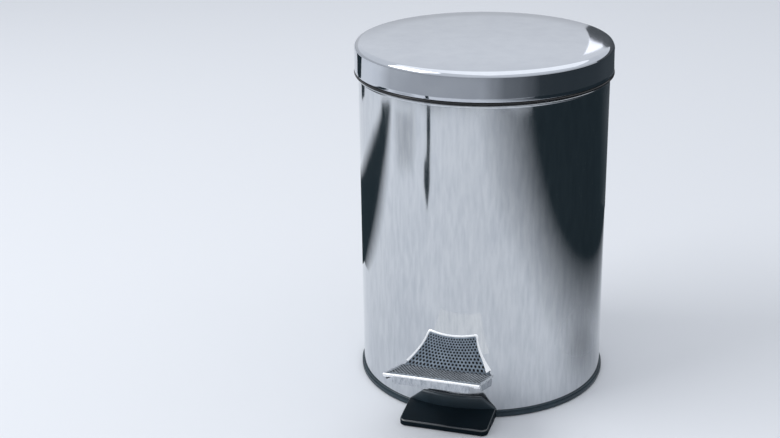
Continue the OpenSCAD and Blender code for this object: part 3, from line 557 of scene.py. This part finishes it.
def mapped_sheet(flat, thickness):
    """The flat field bent to the pad's shape and cut off at its outline, with painted shade on the walls of
    its holes.
    """
    wanted = [drawn(v.co.x / MM, v.co.y / MM) for v in flat.vertices]
    spots = []
    for u, q in wanted:
        q = min(max(q, SHEET_INSET - TREAD_L), BACK_L - SHEET_INSET)
        edge = edge_half(q) - SHEET_INSET
        spots.append((min(max(u, -edge), edge), q))
    loops = [list(face.vertices) for face in flat.polygons]
    drawn_sides = {(a, b) for loop in loops for a, b in zip(loop, loop[1:] + loop[:1])}
    follow = {b: a for a, b in drawn_sides if (b, a) not in drawn_sides}
    seen = set()
    for start in follow:
        rim = []
        at = start
        while at in follow and at not in seen:
            seen.add(at)
            rim.append(at)
            at = follow[at]
        if len(rim) != 12:
            continue
        if any(is_plain(*wanted[i]) for i in rim):
            loops.append(rim)
        elif max(spots[i][1] for i in rim) < BEND_FROM:
            middle = [sum(spots[i][k] for i in rim) / 12 for k in (0, 1)]
            for i in rim:
                spots[i] = tuple(middle[k] + (spots[i][k] - middle[k]) * WORN_OPEN for k in (0, 1))
    work = bmesh.new()
    upper = [work.verts.new(pad_point(u, q)) for u, q in spots]
    lower = [work.verts.new(pad_point(u, q, thickness)) for u, q in spots]
    sides = set()
    for loop in loops:
        flat_area = sum(spots[a][0] * spots[b][1] - spots[b][0] * spots[a][1]
                        for a, b in zip(loop, loop[1:] + loop[:1]))
        if abs(flat_area) < 0.01:
            continue
        if flat_area < 0:
            loop.reverse()
        middle_q = sum(spots[i][1] for i in loop) / len(loop)
        on_tread = PLAIN_FRONT - TREAD_L < middle_q < BEND_FROM
        bend = BEND_FROM <= middle_q < BEND_TO
        # faces in the bend take the painted shade of the crease
        work.faces.new([upper[i] for i in loop]).material_index = 2 if on_tread else 3 if bend else 0
        work.faces.new([lower[i] for i in reversed(loop)])
        sides.update(zip(loop, loop[1:] + loop[:1]))
    for a, b in sides:
        if (b, a) not in sides:
            # the walls of the holes take the painted shade
            work.faces.new([upper[b], upper[a], lower[a], lower[b]]).material_index = 1
    bmesh.ops.delete(work, geom=[v for v in work.verts if not v.link_faces], context="VERTS")
    mesh = bpy.data.meshes.new("pedal_sheet")
    work.to_mesh(mesh)
    work.free()
    return mesh


def loft(loops):
    """A closed skin through loops of equally many points, in mm, with both ends filled."""
    work = bmesh.new()
    rows_made = [[work.verts.new([c * MM for c in p]) for p in loop] for loop in loops]
    count = len(loops[0])
    for low, high in zip(rows_made, rows_made[1:]):
        for i in range(count):
            j = (i + 1) % count
            work.faces.new((low[i], low[j], high[j], high[i]))
    work.faces.new(list(reversed(rows_made[0])))
    work.faces.new(rows_made[-1])
    bmesh.ops.remove_doubles(work, verts=work.verts, dist=1e-6)
    bmesh.ops.recalc_face_normals(work, faces=work.faces)
    mesh = bpy.data.meshes.new("loft")
    work.to_mesh(mesh)
    work.free()
    return mesh


def joined(name, things):
    """Several objects as one, keeping their materials."""
    with bpy.context.temp_override(active_object=things[0], selected_editable_objects=things,
                                   selected_objects=things, object=things[0]):
        bpy.ops.object.join()
    things[0].name = name
    things[0].data.name = name
    return things[0]


def line_of(points):
    """A chain of edges through points in metres."""
    mesh = bpy.data.meshes.new("line")
    mesh.from_pydata([tuple(p) for p in points], [(i, i + 1) for i in range(len(points) - 1)], [])
    return mesh


BEAD = bead_tree()


def edge_bead(points, radius):
    thing = piece("folded_edge", line_of(points))
    return run_tree(thing, BEAD, {"Radius": radius * MM, "Sheet": edge_steel})


SHEET_T = PAD_T * 0.45
sheet = piece("pedal_sheet", mapped_sheet(field.data, SHEET_T), punched_steel, hole_shade_black, tread_steel,
              bend_shade_steel)
bpy.data.objects.remove(field, do_unlink=True)

# dark sheet that closes the holes from below: painted shade, where the holes fall into shadow
shade_sheet_rows = []
for q in [-TREAD_L + 0.5 + (TREAD_L + BACK_L - 1.0) * i / 60 for i in range(61)]:
    half = edge_half(q) - 0.3
    places = [-half + 2 * half * i / 36 for i in range(37)]
    shade_sheet_rows.append([pad_point(u, q, SHEET_T) / MM for u in places]
                      + [pad_point(u, q, PAD_T - HAIR) / MM for u in reversed(places)])
shade_sheet = piece("pedal_shade_sheet", loft(shade_sheet_rows), hole_shade_black)

# folded edge of the raised back: up one side, along the top and down the other, widest at its feet
FOLD_START = 2.6
FOLD_HALF = 0.95
SPLAY_L = 9.0
SPLAY_RIGHT = 1.2
SPLAY_LEFT = 0.2
left_side = [(-edge_half(q), q) for q in
             [FOLD_START + (BACK_L - CORNER - FOLD_START) * (i / 30) ** 1.4 for i in range(31)]]
left_side += [(-back_half(BACK_L) + CORNER * (1 - math.cos(t)), BACK_L - CORNER + CORNER * math.sin(t))
              for t in (0.26, 0.52, 0.79, 1.05, 1.31, 1.57)]
top_half = back_half(BACK_L) - CORNER
back_line = (left_side + [(-top_half + 2 * top_half * i / 24, BACK_L) for i in range(1, 24)]
             + [(-u, q) for u, q in reversed(left_side)])


def fold_half(u, q):
    """Half the width of that fold; its right foot is splayed."""
    above = q - FOLD_START
    splay = SPLAY_RIGHT if u > 0 else SPLAY_LEFT
    wide = FOLD_HALF + splay * max(0.0, 1 - above / SPLAY_L) ** 1.3
    return wide * math.sqrt(max(0.04, 1 - max(0.0, 1 - above / 1.3) ** 2))


fold_loops = []
for k, (u, q) in enumerate(back_line):
    before, after = back_line[max(k - 1, 0)], back_line[min(k + 1, len(back_line) - 1)]
    run = Vector((after[0] - before[0], after[1] - before[1])).normalized()
    wide = fold_half(u, q)
    fold_loops.append([pad_point(u + run.y * wide * (1 + math.cos(t)), q - run.x * wide * (1 + math.cos(t)),
                                 0.45 - 0.68 * math.sin(t)) / MM
                       for t in [math.pi * i / 6 for i in range(12)]])
back_edge = piece("back_fold", loft(fold_loops), edge_steel)
SIDE_R = 0.55
side_edges = []
for side in (-1, 1):
    run = [pad_point(side * (PAD_HALF - SIDE_R), 0.2 - TREAD_L + (TREAD_L - 1.6) * i / 20, 0.3)
           for i in range(21)]
    side_edges.append(edge_bead(run, SIDE_R))

# rolled front edge, its turned-down skirt and the two side flanges
FRONT_Z = tread_z(FRONT_V)
ROLL_R = 1.3
SKIRT_FACE = -PAD_LOW.y / MM - HAIR
SKIRT_HALF = 29.5
SKIRT_H = 7.0
roll_half = PAD_HALF - 0.3
roll_y = ROLL_R + HAIR / 2 - SKIRT_FACE
roll = [((-roll_half + 2 * roll_half * i / 40) * MM, roll_y * MM, (FRONT_Z - PAD_T) * MM) for i in range(41)]
front_roll = edge_bead(roll, ROLL_R)


def rounded_rect_loop(low, high, r, steps=5):
    """Corner-rounded rectangle, as (a, b) pairs."""
    out = []
    for cx, cy, start in ((high[0] - r, high[1] - r, 0), (low[0] + r, high[1] - r, 90),
                          (low[0] + r, low[1] + r, 180), (high[0] - r, low[1] + r, 270)):
        out += arc(cx, cy, r, start, start + 90, steps)
    return out


def slab(outline, place, thickness, rim=0.28):
    """A plate from its outline in its plane, with its rim rounded; place(a, b, depth) gives its points."""
    middle = (sum(p[0] for p in outline) / len(outline), sum(p[1] for p in outline) / len(outline))
    count = len(outline)
    loops = []
    for share, depth in ((1.0, 0.0), (0.3, 0.08), (0.0, 0.3), (0.0, 0.7), (0.3, 0.92), (1.0, 1.0)):
        loop = []
        for i, p in enumerate(outline):
            a, b = outline[i - 1], outline[(i + 1) % count]
            run = Vector((b[0] - a[0], b[1] - a[1])).normalized()
            inward = Vector((-run.y, run.x))
            if inward.dot(Vector((middle[0] - p[0], middle[1] - p[1]))) < 0:
                inward.negate()
            p = (p[0] + inward.x * rim * share, p[1] + inward.y * rim * share)
            loop.append(place(*p, depth * thickness))
        loops.append(loop)
    return loft(loops)


SKIRT_LOW = FRONT_Z - SKIRT_H
skirt_outline = rounded_rect_loop((-SKIRT_HALF, SKIRT_LOW), (SKIRT_HALF, FRONT_Z - PAD_T), 2.5)
skirt_outline = [(a, b if b < FRONT_Z - 2 else FRONT_Z - PAD_T) for a, b in skirt_outline]
# a small vee is nicked into its lower edge
nick = next(i for i, (a, b) in enumerate(skirt_outline) if a > 0 and b < SKIRT_LOW + 0.1)
skirt_outline[nick:nick] = [(-12.9, SKIRT_LOW), (-11.1, SKIRT_LOW + 1.5), (-9.3, SKIRT_LOW)]
skirt = piece("skirt", slab(skirt_outline, lambda a, b, d: (a, d - SKIRT_FACE, b), PAD_T - HAIR), skirt_steel)
flanges = []
flange_line = [(v, tread_z(v) - drop) for v, drop in
               ((119.0, 0.6), (119.8, 5.2), (120.6, 6.4), (122.2, 7.0), (136, 6.5), (150.6, 5.9),
                (152.2, 5.2), (153.2, 3.6), (154.6, 0.6))]
for side in (-1, 1):
    bent_down = slab(flange_line, lambda a, b, d: (side * (PAD_HALF - HAIR - d), -a, b), PAD_T - HAIR)
    flanges.append(piece("flange", bent_down, skirt_steel))


def crumpled_corner(side):
    """The short uneven lip that is left where skirt and flange don't meet."""
    loops = []
    # (short of the pad's side, in front of the axis)
    path = [(4.8, 158.7), (3.4, 158.7), (2.1, 158.6), (1.0, 158.2), (0.4, 157.4), (0.4, 156.4), (0.45, 155.4),
            (0.5, 154.4)]
    drop = [2.6, 1.7, 2.5, 1.9, 2.9, 2.0, 2.4, 1.6]
    sway = [0.0, 0.25, -0.2, 0.3, -0.25, 0.2, -0.15, 0.1]
    for k, (short, v) in enumerate(path):
        u = PAD_HALF - short
        a, b = path[max(k - 1, 0)], path[min(k + 1, len(path) - 1)]
        run = Vector((a[0] - b[0], b[1] - a[1])).normalized()
        out = Vector((-run.y, run.x)) * (0.42 if k else 0.35)
        top = tread_z(min(v, FRONT_V)) - 0.35
        loops.append([(side * (u + share * out.x), -(v + share * out.y), top - low) for share, low in
                      ((1, 0), (-1, 0), (sway[k] - 0.8, drop[k]), (sway[k] + 0.8, drop[k]))])
    thing = piece("lip", loft(loops), edge_steel)
    mod = thing.modifiers.new("soft", "SUBSURF")
    mod.levels = 2
    return baked(thing)


lips = [crumpled_corner(side) for side in (-1, 1)]
pad = joined("pedal_tread", [sheet, shade_sheet, back_edge, front_roll, skirt] + side_edges + flanges + lips)
smooth(pad.data, 40)
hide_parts("pedal_pad")
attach(pad, "lever")
# the sleeve behind the pedal stays clear of its mirror image
pad.visible_glossy = False

# ---------------------------------------------------------------- foot plate
PLATE_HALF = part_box("foot_plate")[1].x / MM
PLATE_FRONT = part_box("foot_plate")[0].y / MM
PLATE_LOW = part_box("foot_plate")[0].z / MM
PLATE_H = 4.9
PLATE_REAR_H = 8.0
CORNER_R = 5.0
REAR_R = 101.0
RISER_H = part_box("foot_plate")[1].z / MM
RISER_SIDE_H = 7.0
RISER_TOP_HALF = 24.0
RISER_LOW = 5.5
RISER_IN = 99.15
RISER_OUT = 101.2


def plate_top(y):
    level = PLATE_FRONT + 0.8
    return min(PLATE_REAR_H, PLATE_H + (PLATE_REAR_H - PLATE_H) * (y - level) / (-SLEEVE_R - level))


def plate_outline(inset):
    """Plan of the plate: rounded front corners, hollow rear edge that follows the base."""
    half, front = PLATE_HALF - inset, PLATE_FRONT + inset
    r = CORNER_R - inset
    out = []
    for cx, start in ((-half + r, 180), (half - r, 270)):
        out += arc(cx, front + r, r, start, start + 90, 8)
    rear = [half - 2 * half * i / 24 for i in range(25)]
    side_steps = 6
    right_end = -math.sqrt(REAR_R ** 2 - half ** 2)
    right = [(half, front + r + (right_end - front - r) * i / side_steps) for i in range(1, side_steps)]
    left = [(-x, y) for x, y in reversed(right)]
    return out + right + [(x, -math.sqrt(REAR_R ** 2 - x * x)) for x in rear] + left


plate_loops = []
for inset, drop in ((0.6, None), (0.15, 0.25), (0.0, 0.8), (0.0, 1.3), (0.1, 0.72), (0.35, 0.33),
                    (0.72, 0.08), (1.2, 0.0)):
    loop = []
    for x, y in plate_outline(inset):
        if drop is None:
            z = PLATE_LOW
        elif len(plate_loops) in (1, 2):
            z = PLATE_LOW + drop
        else:
            z = plate_top(y) - drop
        loop.append((x, y, z))
    plate_loops.append(loop)
plate = piece("plate", loft(plate_loops), foot_black, rim_black_highlight)
# the sloped faces of the rounded rim take the painted highlight
for face in plate.data.polygons:
    if 0.25 < face.normal.z < 0.97:
        face.material_index = 1


def riser_top(x):
    share = min(1.0, max(0.0, (PLATE_HALF - abs(x)) / (PLATE_HALF - RISER_TOP_HALF)))
    return RISER_SIDE_H + (RISER_H - RISER_SIDE_H) * share


riser_loops = []
for x in [-PLATE_HALF + 0.2 + (2 * PLATE_HALF - 0.4) * i / 70 for i in range(71)]:
    z = riser_top(x)
    section = [(RISER_IN, RISER_LOW), (RISER_IN, z - 0.3), (RISER_IN + 0.2, z), (RISER_OUT - 0.7, z),
               (RISER_OUT - 0.3, z - 0.12), (RISER_OUT - 0.08, z - 0.4), (RISER_OUT, z - 0.9),
               (RISER_OUT, RISER_LOW)]
    riser_loops.append([(x, -math.sqrt(r * r - x * x), h) for r, h in section])
riser = piece("riser", loft(riser_loops), riser_black_lit)
foot = joined("foot_plate_moulding", [plate, riser])
smooth(foot.data, 50)
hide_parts("foot_plate")
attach(foot, "bin")


# ---------------------------------------------------------------- floor, light and camera
def flat_card(name, corners, height, material):
    mesh = bpy.data.meshes.new(name)
    mesh.from_pydata([(x * MM, y * MM, height * MM) for x, y in corners], [], [list(range(len(corners)))])
    made = piece(name, mesh, material)
    return made


# floor paint, rolled on: matt and even, so that the bin isn't mirrored in it
floor_paint, floor_tree = new_material("pale_floor")
matt = add(floor_tree, "ShaderNodeBsdfPrincipled", Base_Color=linear("#E4E7EC"), Roughness=0.6,
           Specular_IOR_Level=0.0)
add(floor_tree, "ShaderNodeOutputMaterial", Surface=matt)
flat_card("floor", [(-6000, -6000), (6000, -6000), (6000, 9000), (-6000, 9000)], 0.0, floor_paint)

# dull dark card, thinned by its own fade: the steel mirrors it as soft shadow
card_paint, card_tree = new_material("dark_card")
fade = add(card_tree, "ShaderNodeAttribute", {"attribute_name": "fade"})
clear = add(card_tree, "ShaderNodeBsdfTransparent")
dull = add(card_tree, "ShaderNodeBsdfDiffuse", Color=linear("#293338"))
thinned = add(card_tree, "ShaderNodeMixShader", None, fade.outputs["Fac"], clear, dull)
add(card_tree, "ShaderNodeOutputMaterial", Surface=thinned)


def for_steel_only(card):
    """A card that shows in mirroring faces and nowhere else."""
    card.visible_camera = False
    card.visible_diffuse = False
    card.visible_shadow = False
    card.visible_transmission = False


def shade_card(name, outline, strips, height=1.0):
    """A dark card lying over the floor, seen only in the steel: a filled outline, then strips that fade out
    from it. Each strip is a line with one strength, or with a list of strengths along it."""
    corners = [(x, y, 1.0) for x, y in outline]
    faces = [list(range(len(outline)))] if outline else []
    rows_made = []
    for line, strength in strips:
        rows_made.append([len(corners) + i for i in range(len(line))])
        many = strength if isinstance(strength, list) else [strength] * len(line)
        corners += [(x, y, one) for (x, y), one in zip(line, many)]
    for one, other in zip(rows_made, rows_made[1:]):
        faces += [[one[i], one[i + 1], other[i + 1], other[i]] for i in range(len(one) - 1)]
    mesh = bpy.data.meshes.new(name)
    mesh.from_pydata([(x * MM, y * MM, height * MM) for x, y, _ in corners], [], faces)
    mesh.attributes.new("fade", "FLOAT", "POINT").data.foreach_set("value", [c[2] for c in corners])
    for_steel_only(piece(name, mesh, card_paint))


def soft_spot(name, centre, radius, strength):
    """A round card, darkest in its middle, that fades out evenly to its rim."""
    around = [math.radians(15 * i) for i in range(25)]
    rings = []
    for k in range(7):
        r = radius * k / 6
        rings.append(([(centre[0] + r * math.cos(a), centre[1] + r * math.sin(a)) for a in around],
                      strength * math.cos(math.pi * k / 12) ** 2))
    shade_card(name, [], rings, 2.0)


def flowing(points, steps=4):
    """A smooth line through the points."""
    line = []
    for i in range(len(points) - 1):
        around = [points[min(max(k, 0), len(points) - 1)] for k in range(i - 1, i + 3)]
        for t in [k / steps for k in range(steps)]:
            line.append([b + t / 2 * (c - a + t * (2 * a - 5 * b + 4 * c - d + t * (3 * (b - c) + d - a)))
                         for a, b, c, d in zip(*around)])
    return line + [points[-1]]


def round_the_bin(r, degrees):
    """A place on the floor at radius r, at an angle from the front."""
    return r * math.sin(math.radians(degrees)), -r * math.cos(math.radians(degrees))


# the cards under the sleeve's mirror images end on this radius, where those of the lid's skirt begin
ROUND_R = 990
# the dark side of the room, seen down the right of the sleeve
right_core = flowing([(775, -535), (605, -260), (415, 10), (225, 250), (105, 400)])
right_mid = flowing([(490, -820), (455, -500), (390, -200), (165, 145), (105, 370)])
right_out = flowing([(105, -950), (185, -580), (260, -250), (115, 65), (105, 310)])
right_edge = [(105, 400), (285, 370), (545, 660), (636, 758)]
right_beyond = [(60, 380), (40, 415), (-10, 790), (-15, 1000)]
right_round = [round_the_bin(ROUND_R, a) for a in range(136, 50, -8)]
shade_card("card_right", right_core + right_edge + right_round,
           [(right_core, 1.0), (right_mid, 0.5), (right_out, 0.0)])
shade_card("card_right_end", [], [(right_edge, 1.0), (right_beyond, 0.88),
                                  ([(x - 90 - 0.12 * y, y) for x, y in right_beyond], 0.0)])
# the dark strip at its left edge, with soft sides, and the thin line beside it
left_in = flowing([(-890, -200), (-820, -180), (-575, -10), (-345, 105), (-235, 135)])
left_soft = flowing([(-875, -280), (-805, -255), (-580, -145), (-385, -30), (-265, 60)])
left_far = [(-160, 170), (-195, 270), (-245, 410)]
left_out = [(-400, 320), (-570, 200), (-710, 70), (-825, -65), (-900, -85)]
left_fade = [(-430, 385), (-555, 325), (-730, 185), (-865, -5), (-910, -25)]
shade_card("card_left", left_in + left_far + left_out, [(left_in, 1.0), (left_soft, 0.0)])
shade_card("card_left_far", [], [(left_out, 1.0), (left_fade, 0.0)])
shade_card("card_left_end", [], [(left_far + left_out[:1], 1.0),
                                 ([(x + 70, y + 0.25 * y) for x, y in left_far] + left_fade[:1], 0.0)])
thin_line = [(-550, -770), (-415, -595), (-420, -550), (-370, -490), (-295, -445), (-325, -525), (-380, -610),
             (-505, -800)]
shade_card("card_line", thin_line, [])
# a soft shadow low on its right half, and a faint patch between that strip and that line
soft_spot("card_low", (155, 8), 85, 0.42)
blotch = [(-795, -375), (-700, -340), (-595, -325), (-540, -430), (-605, -510), (-685, -575), (-795, -375)]
blotch_rim = [(-865, -280), (-730, -245), (-570, -240), (-465, -435), (-550, -580), (-665, -660),
              (-865, -280)]
shade_card("card_blotch", [], [([(-655, -430)] * 7, 0.4), (blotch, 0.3), (blotch_rim, 0.0)])
# the darker walls of the room, seen in the lid's skirt: (degrees from the front, strength)
far = [(-100, 0.0), (-90, 0.1), (-72, 0.45), (-45, 0.5), (-12, 0.44), (11, 0.42), (21, 0.585), (31, 0.75),
       (41, 0.78), (51, 0.86), (61, 0.962), (75, 0.97), (110, 0.97), (140, 0.95), (175, 0.95)]
far_rings = []
for r, share in ((ROUND_R - 65, 0), (ROUND_R, 1), (4500, 1)):
    far_rings.append(([round_the_bin(r, a) for a, _ in far], [share * one for _, one in far]))
shade_card("card_far", [], far_rings, 2.0)
# a dark corner of the room, far to the left
shade_card("card_far_left", [(-650, 530), (-760, 440), (-1300, 640), (-1080, 1000)], [], 3.0)


def glowing(name, colour, strength):
    made, tree = new_material(name)
    light = add(tree, "ShaderNodeEmission", Color=linear(colour), Strength=strength)
    add(tree, "ShaderNodeOutputMaterial", Surface=light)
    return made


# glowing card, no lamp: an even pale grey glow that stands in for a white card lit by the room
glow_paint = glowing("glowing_pale_card", "#EDF1F7", 1.0)
# daylight through glass: the brightest spot that the steel mirrors
window_paint = glowing("bright_window", "#F4F6FF", 1.7)
# pale glowing card inside the pedal's sheet, seen only in the steel: a painted reflection that hides the
# lever's mirror image in the sleeve
glow_mesh = bpy.data.meshes.new("card_pedal")
glow_corners = [pad_point(u, q, 0.2) for u, q in ((-36, -45), (36, -45), (36, -2), (-36, -2))]
glow_mesh.from_pydata(glow_corners, [], [(0, 1, 2, 3)])
for_steel_only(piece("card_pedal", glow_mesh, glow_paint))

# a dark low wall and a bright window at the far end of the room: the wall darkens the right end of the lid's
# shoulder, and both are mirrored at the right of its flat top
low_wall = [(-300, 0), (-300, 700), (-383, 930), (-383, 1005), (-360, 1015), (-325, 1030), (-300, 1060),
            (-150, 1150), (900, 1150), (4200, 1000), (4200, 0)]
window = [(-385, 1005), (-360, 1015), (-322, 1028), (-312, 1040), (-315, 1056), (-330, 1072), (-350, 1088),
          (-370, 1098), (-383, 1100)]
for card_name, outline, paint, back in (("card_low_wall", low_wall, card_paint, 3.0),
                                        ("card_window", window, window_paint, 2.99)):
    upright = bpy.data.meshes.new(card_name)
    upright.from_pydata([(x * MM, back, z * MM) for x, z in outline], [], [list(range(len(outline)))])
    upright.attributes.new("fade", "FLOAT", "POINT").data.foreach_set("value", [0.87] * len(outline))
    for_steel_only(piece(card_name, upright, paint))


def lamp(name, place, aim, size, power):
    data = bpy.data.lights.new(name, "AREA")
    data.shape = "RECTANGLE"
    data.size, data.size_y = size
    data.energy = power
    made = bpy.data.objects.new(name, data)
    bpy.context.scene.collection.objects.link(made)
    made.location = place
    made.rotation_euler = (Vector(aim) - Vector(place)).to_track_quat("-Z", "Y").to_euler()
    return made


# a soft window from the left front, and the ceiling
lamp("key_left", (-1.6, -0.9, 1.7), (0, 0, 0.12), (1.6, 1.2), 26)
lamp("top", (0.2, 0.3, 2.2), (0, 0, 0.1), (3.6, 3.6), 24)

world = bpy.data.worlds.new("studio")
bpy.context.scene.world = world
world.use_nodes = True
sky = world.node_tree
sky.nodes.clear()
# the room's light: dimmer as light on the bin than where it is seen or mirrored, and dimmer low down
rays = add(sky, "ShaderNodeLightPath")
seen = rays.outputs["Is Camera Ray"]
for kind in ("Is Glossy Ray", "Is Transmission Ray"):
    seen = add(sky, "ShaderNodeMath", {"operation": "MAXIMUM"}, seen, rays.outputs[kind])
sky_power = add(sky, "ShaderNodeMapRange", Value=seen, To_Min=0.62, To_Max=1.0)
sky_up = add(sky, "ShaderNodeSeparateXYZ", Vector=add(sky, "ShaderNodeTexCoord").outputs["Generated"])
sky_dim = add(sky, "ShaderNodeMapRange", Value=sky_up.outputs["Z"], From_Min=0.19, From_Max=0.245,
              To_Min=0.74, To_Max=1.0)
sky_strength = add(sky, "ShaderNodeMath", {"operation": "MULTIPLY"}, sky_power, sky_dim)
sky_light = add(sky, "ShaderNodeBackground", Color=linear("#E8ECF3"), Strength=sky_strength)
add(sky, "ShaderNodeOutputWorld", Surface=sky_light)

# the camera stands in front, a little to the right and above, and is rolled slightly
eye = Vector((0.24392, -1.02361, 0.53487))
forward = Vector((-0.28317, 0.89777, -0.33737)).normalized()
right = forward.cross(Vector((0, 0, 1))).normalized()
up = right.cross(forward)
ROLL = -0.01536
right, up = right * math.cos(ROLL) + up * math.sin(ROLL), up * math.cos(ROLL) - right * math.sin(ROLL)
camera_data = bpy.data.cameras.new("camera")
camera_data.lens = 63.293
camera_data.sensor_width = 36.0
camera_data.shift_y = -0.04359
camera = bpy.data.objects.new("camera", camera_data)
bpy.context.scene.collection.objects.link(camera)
camera.matrix_world = Matrix(((right.x, up.x, -forward.x, eye.x), (right.y, up.y, -forward.y, eye.y),
                              (right.z, up.z, -forward.z, eye.z), (0, 0, 0, 1)))
bpy.context.scene.camera = camera
bpy.context.scene.view_settings.view_transform = "Standard"
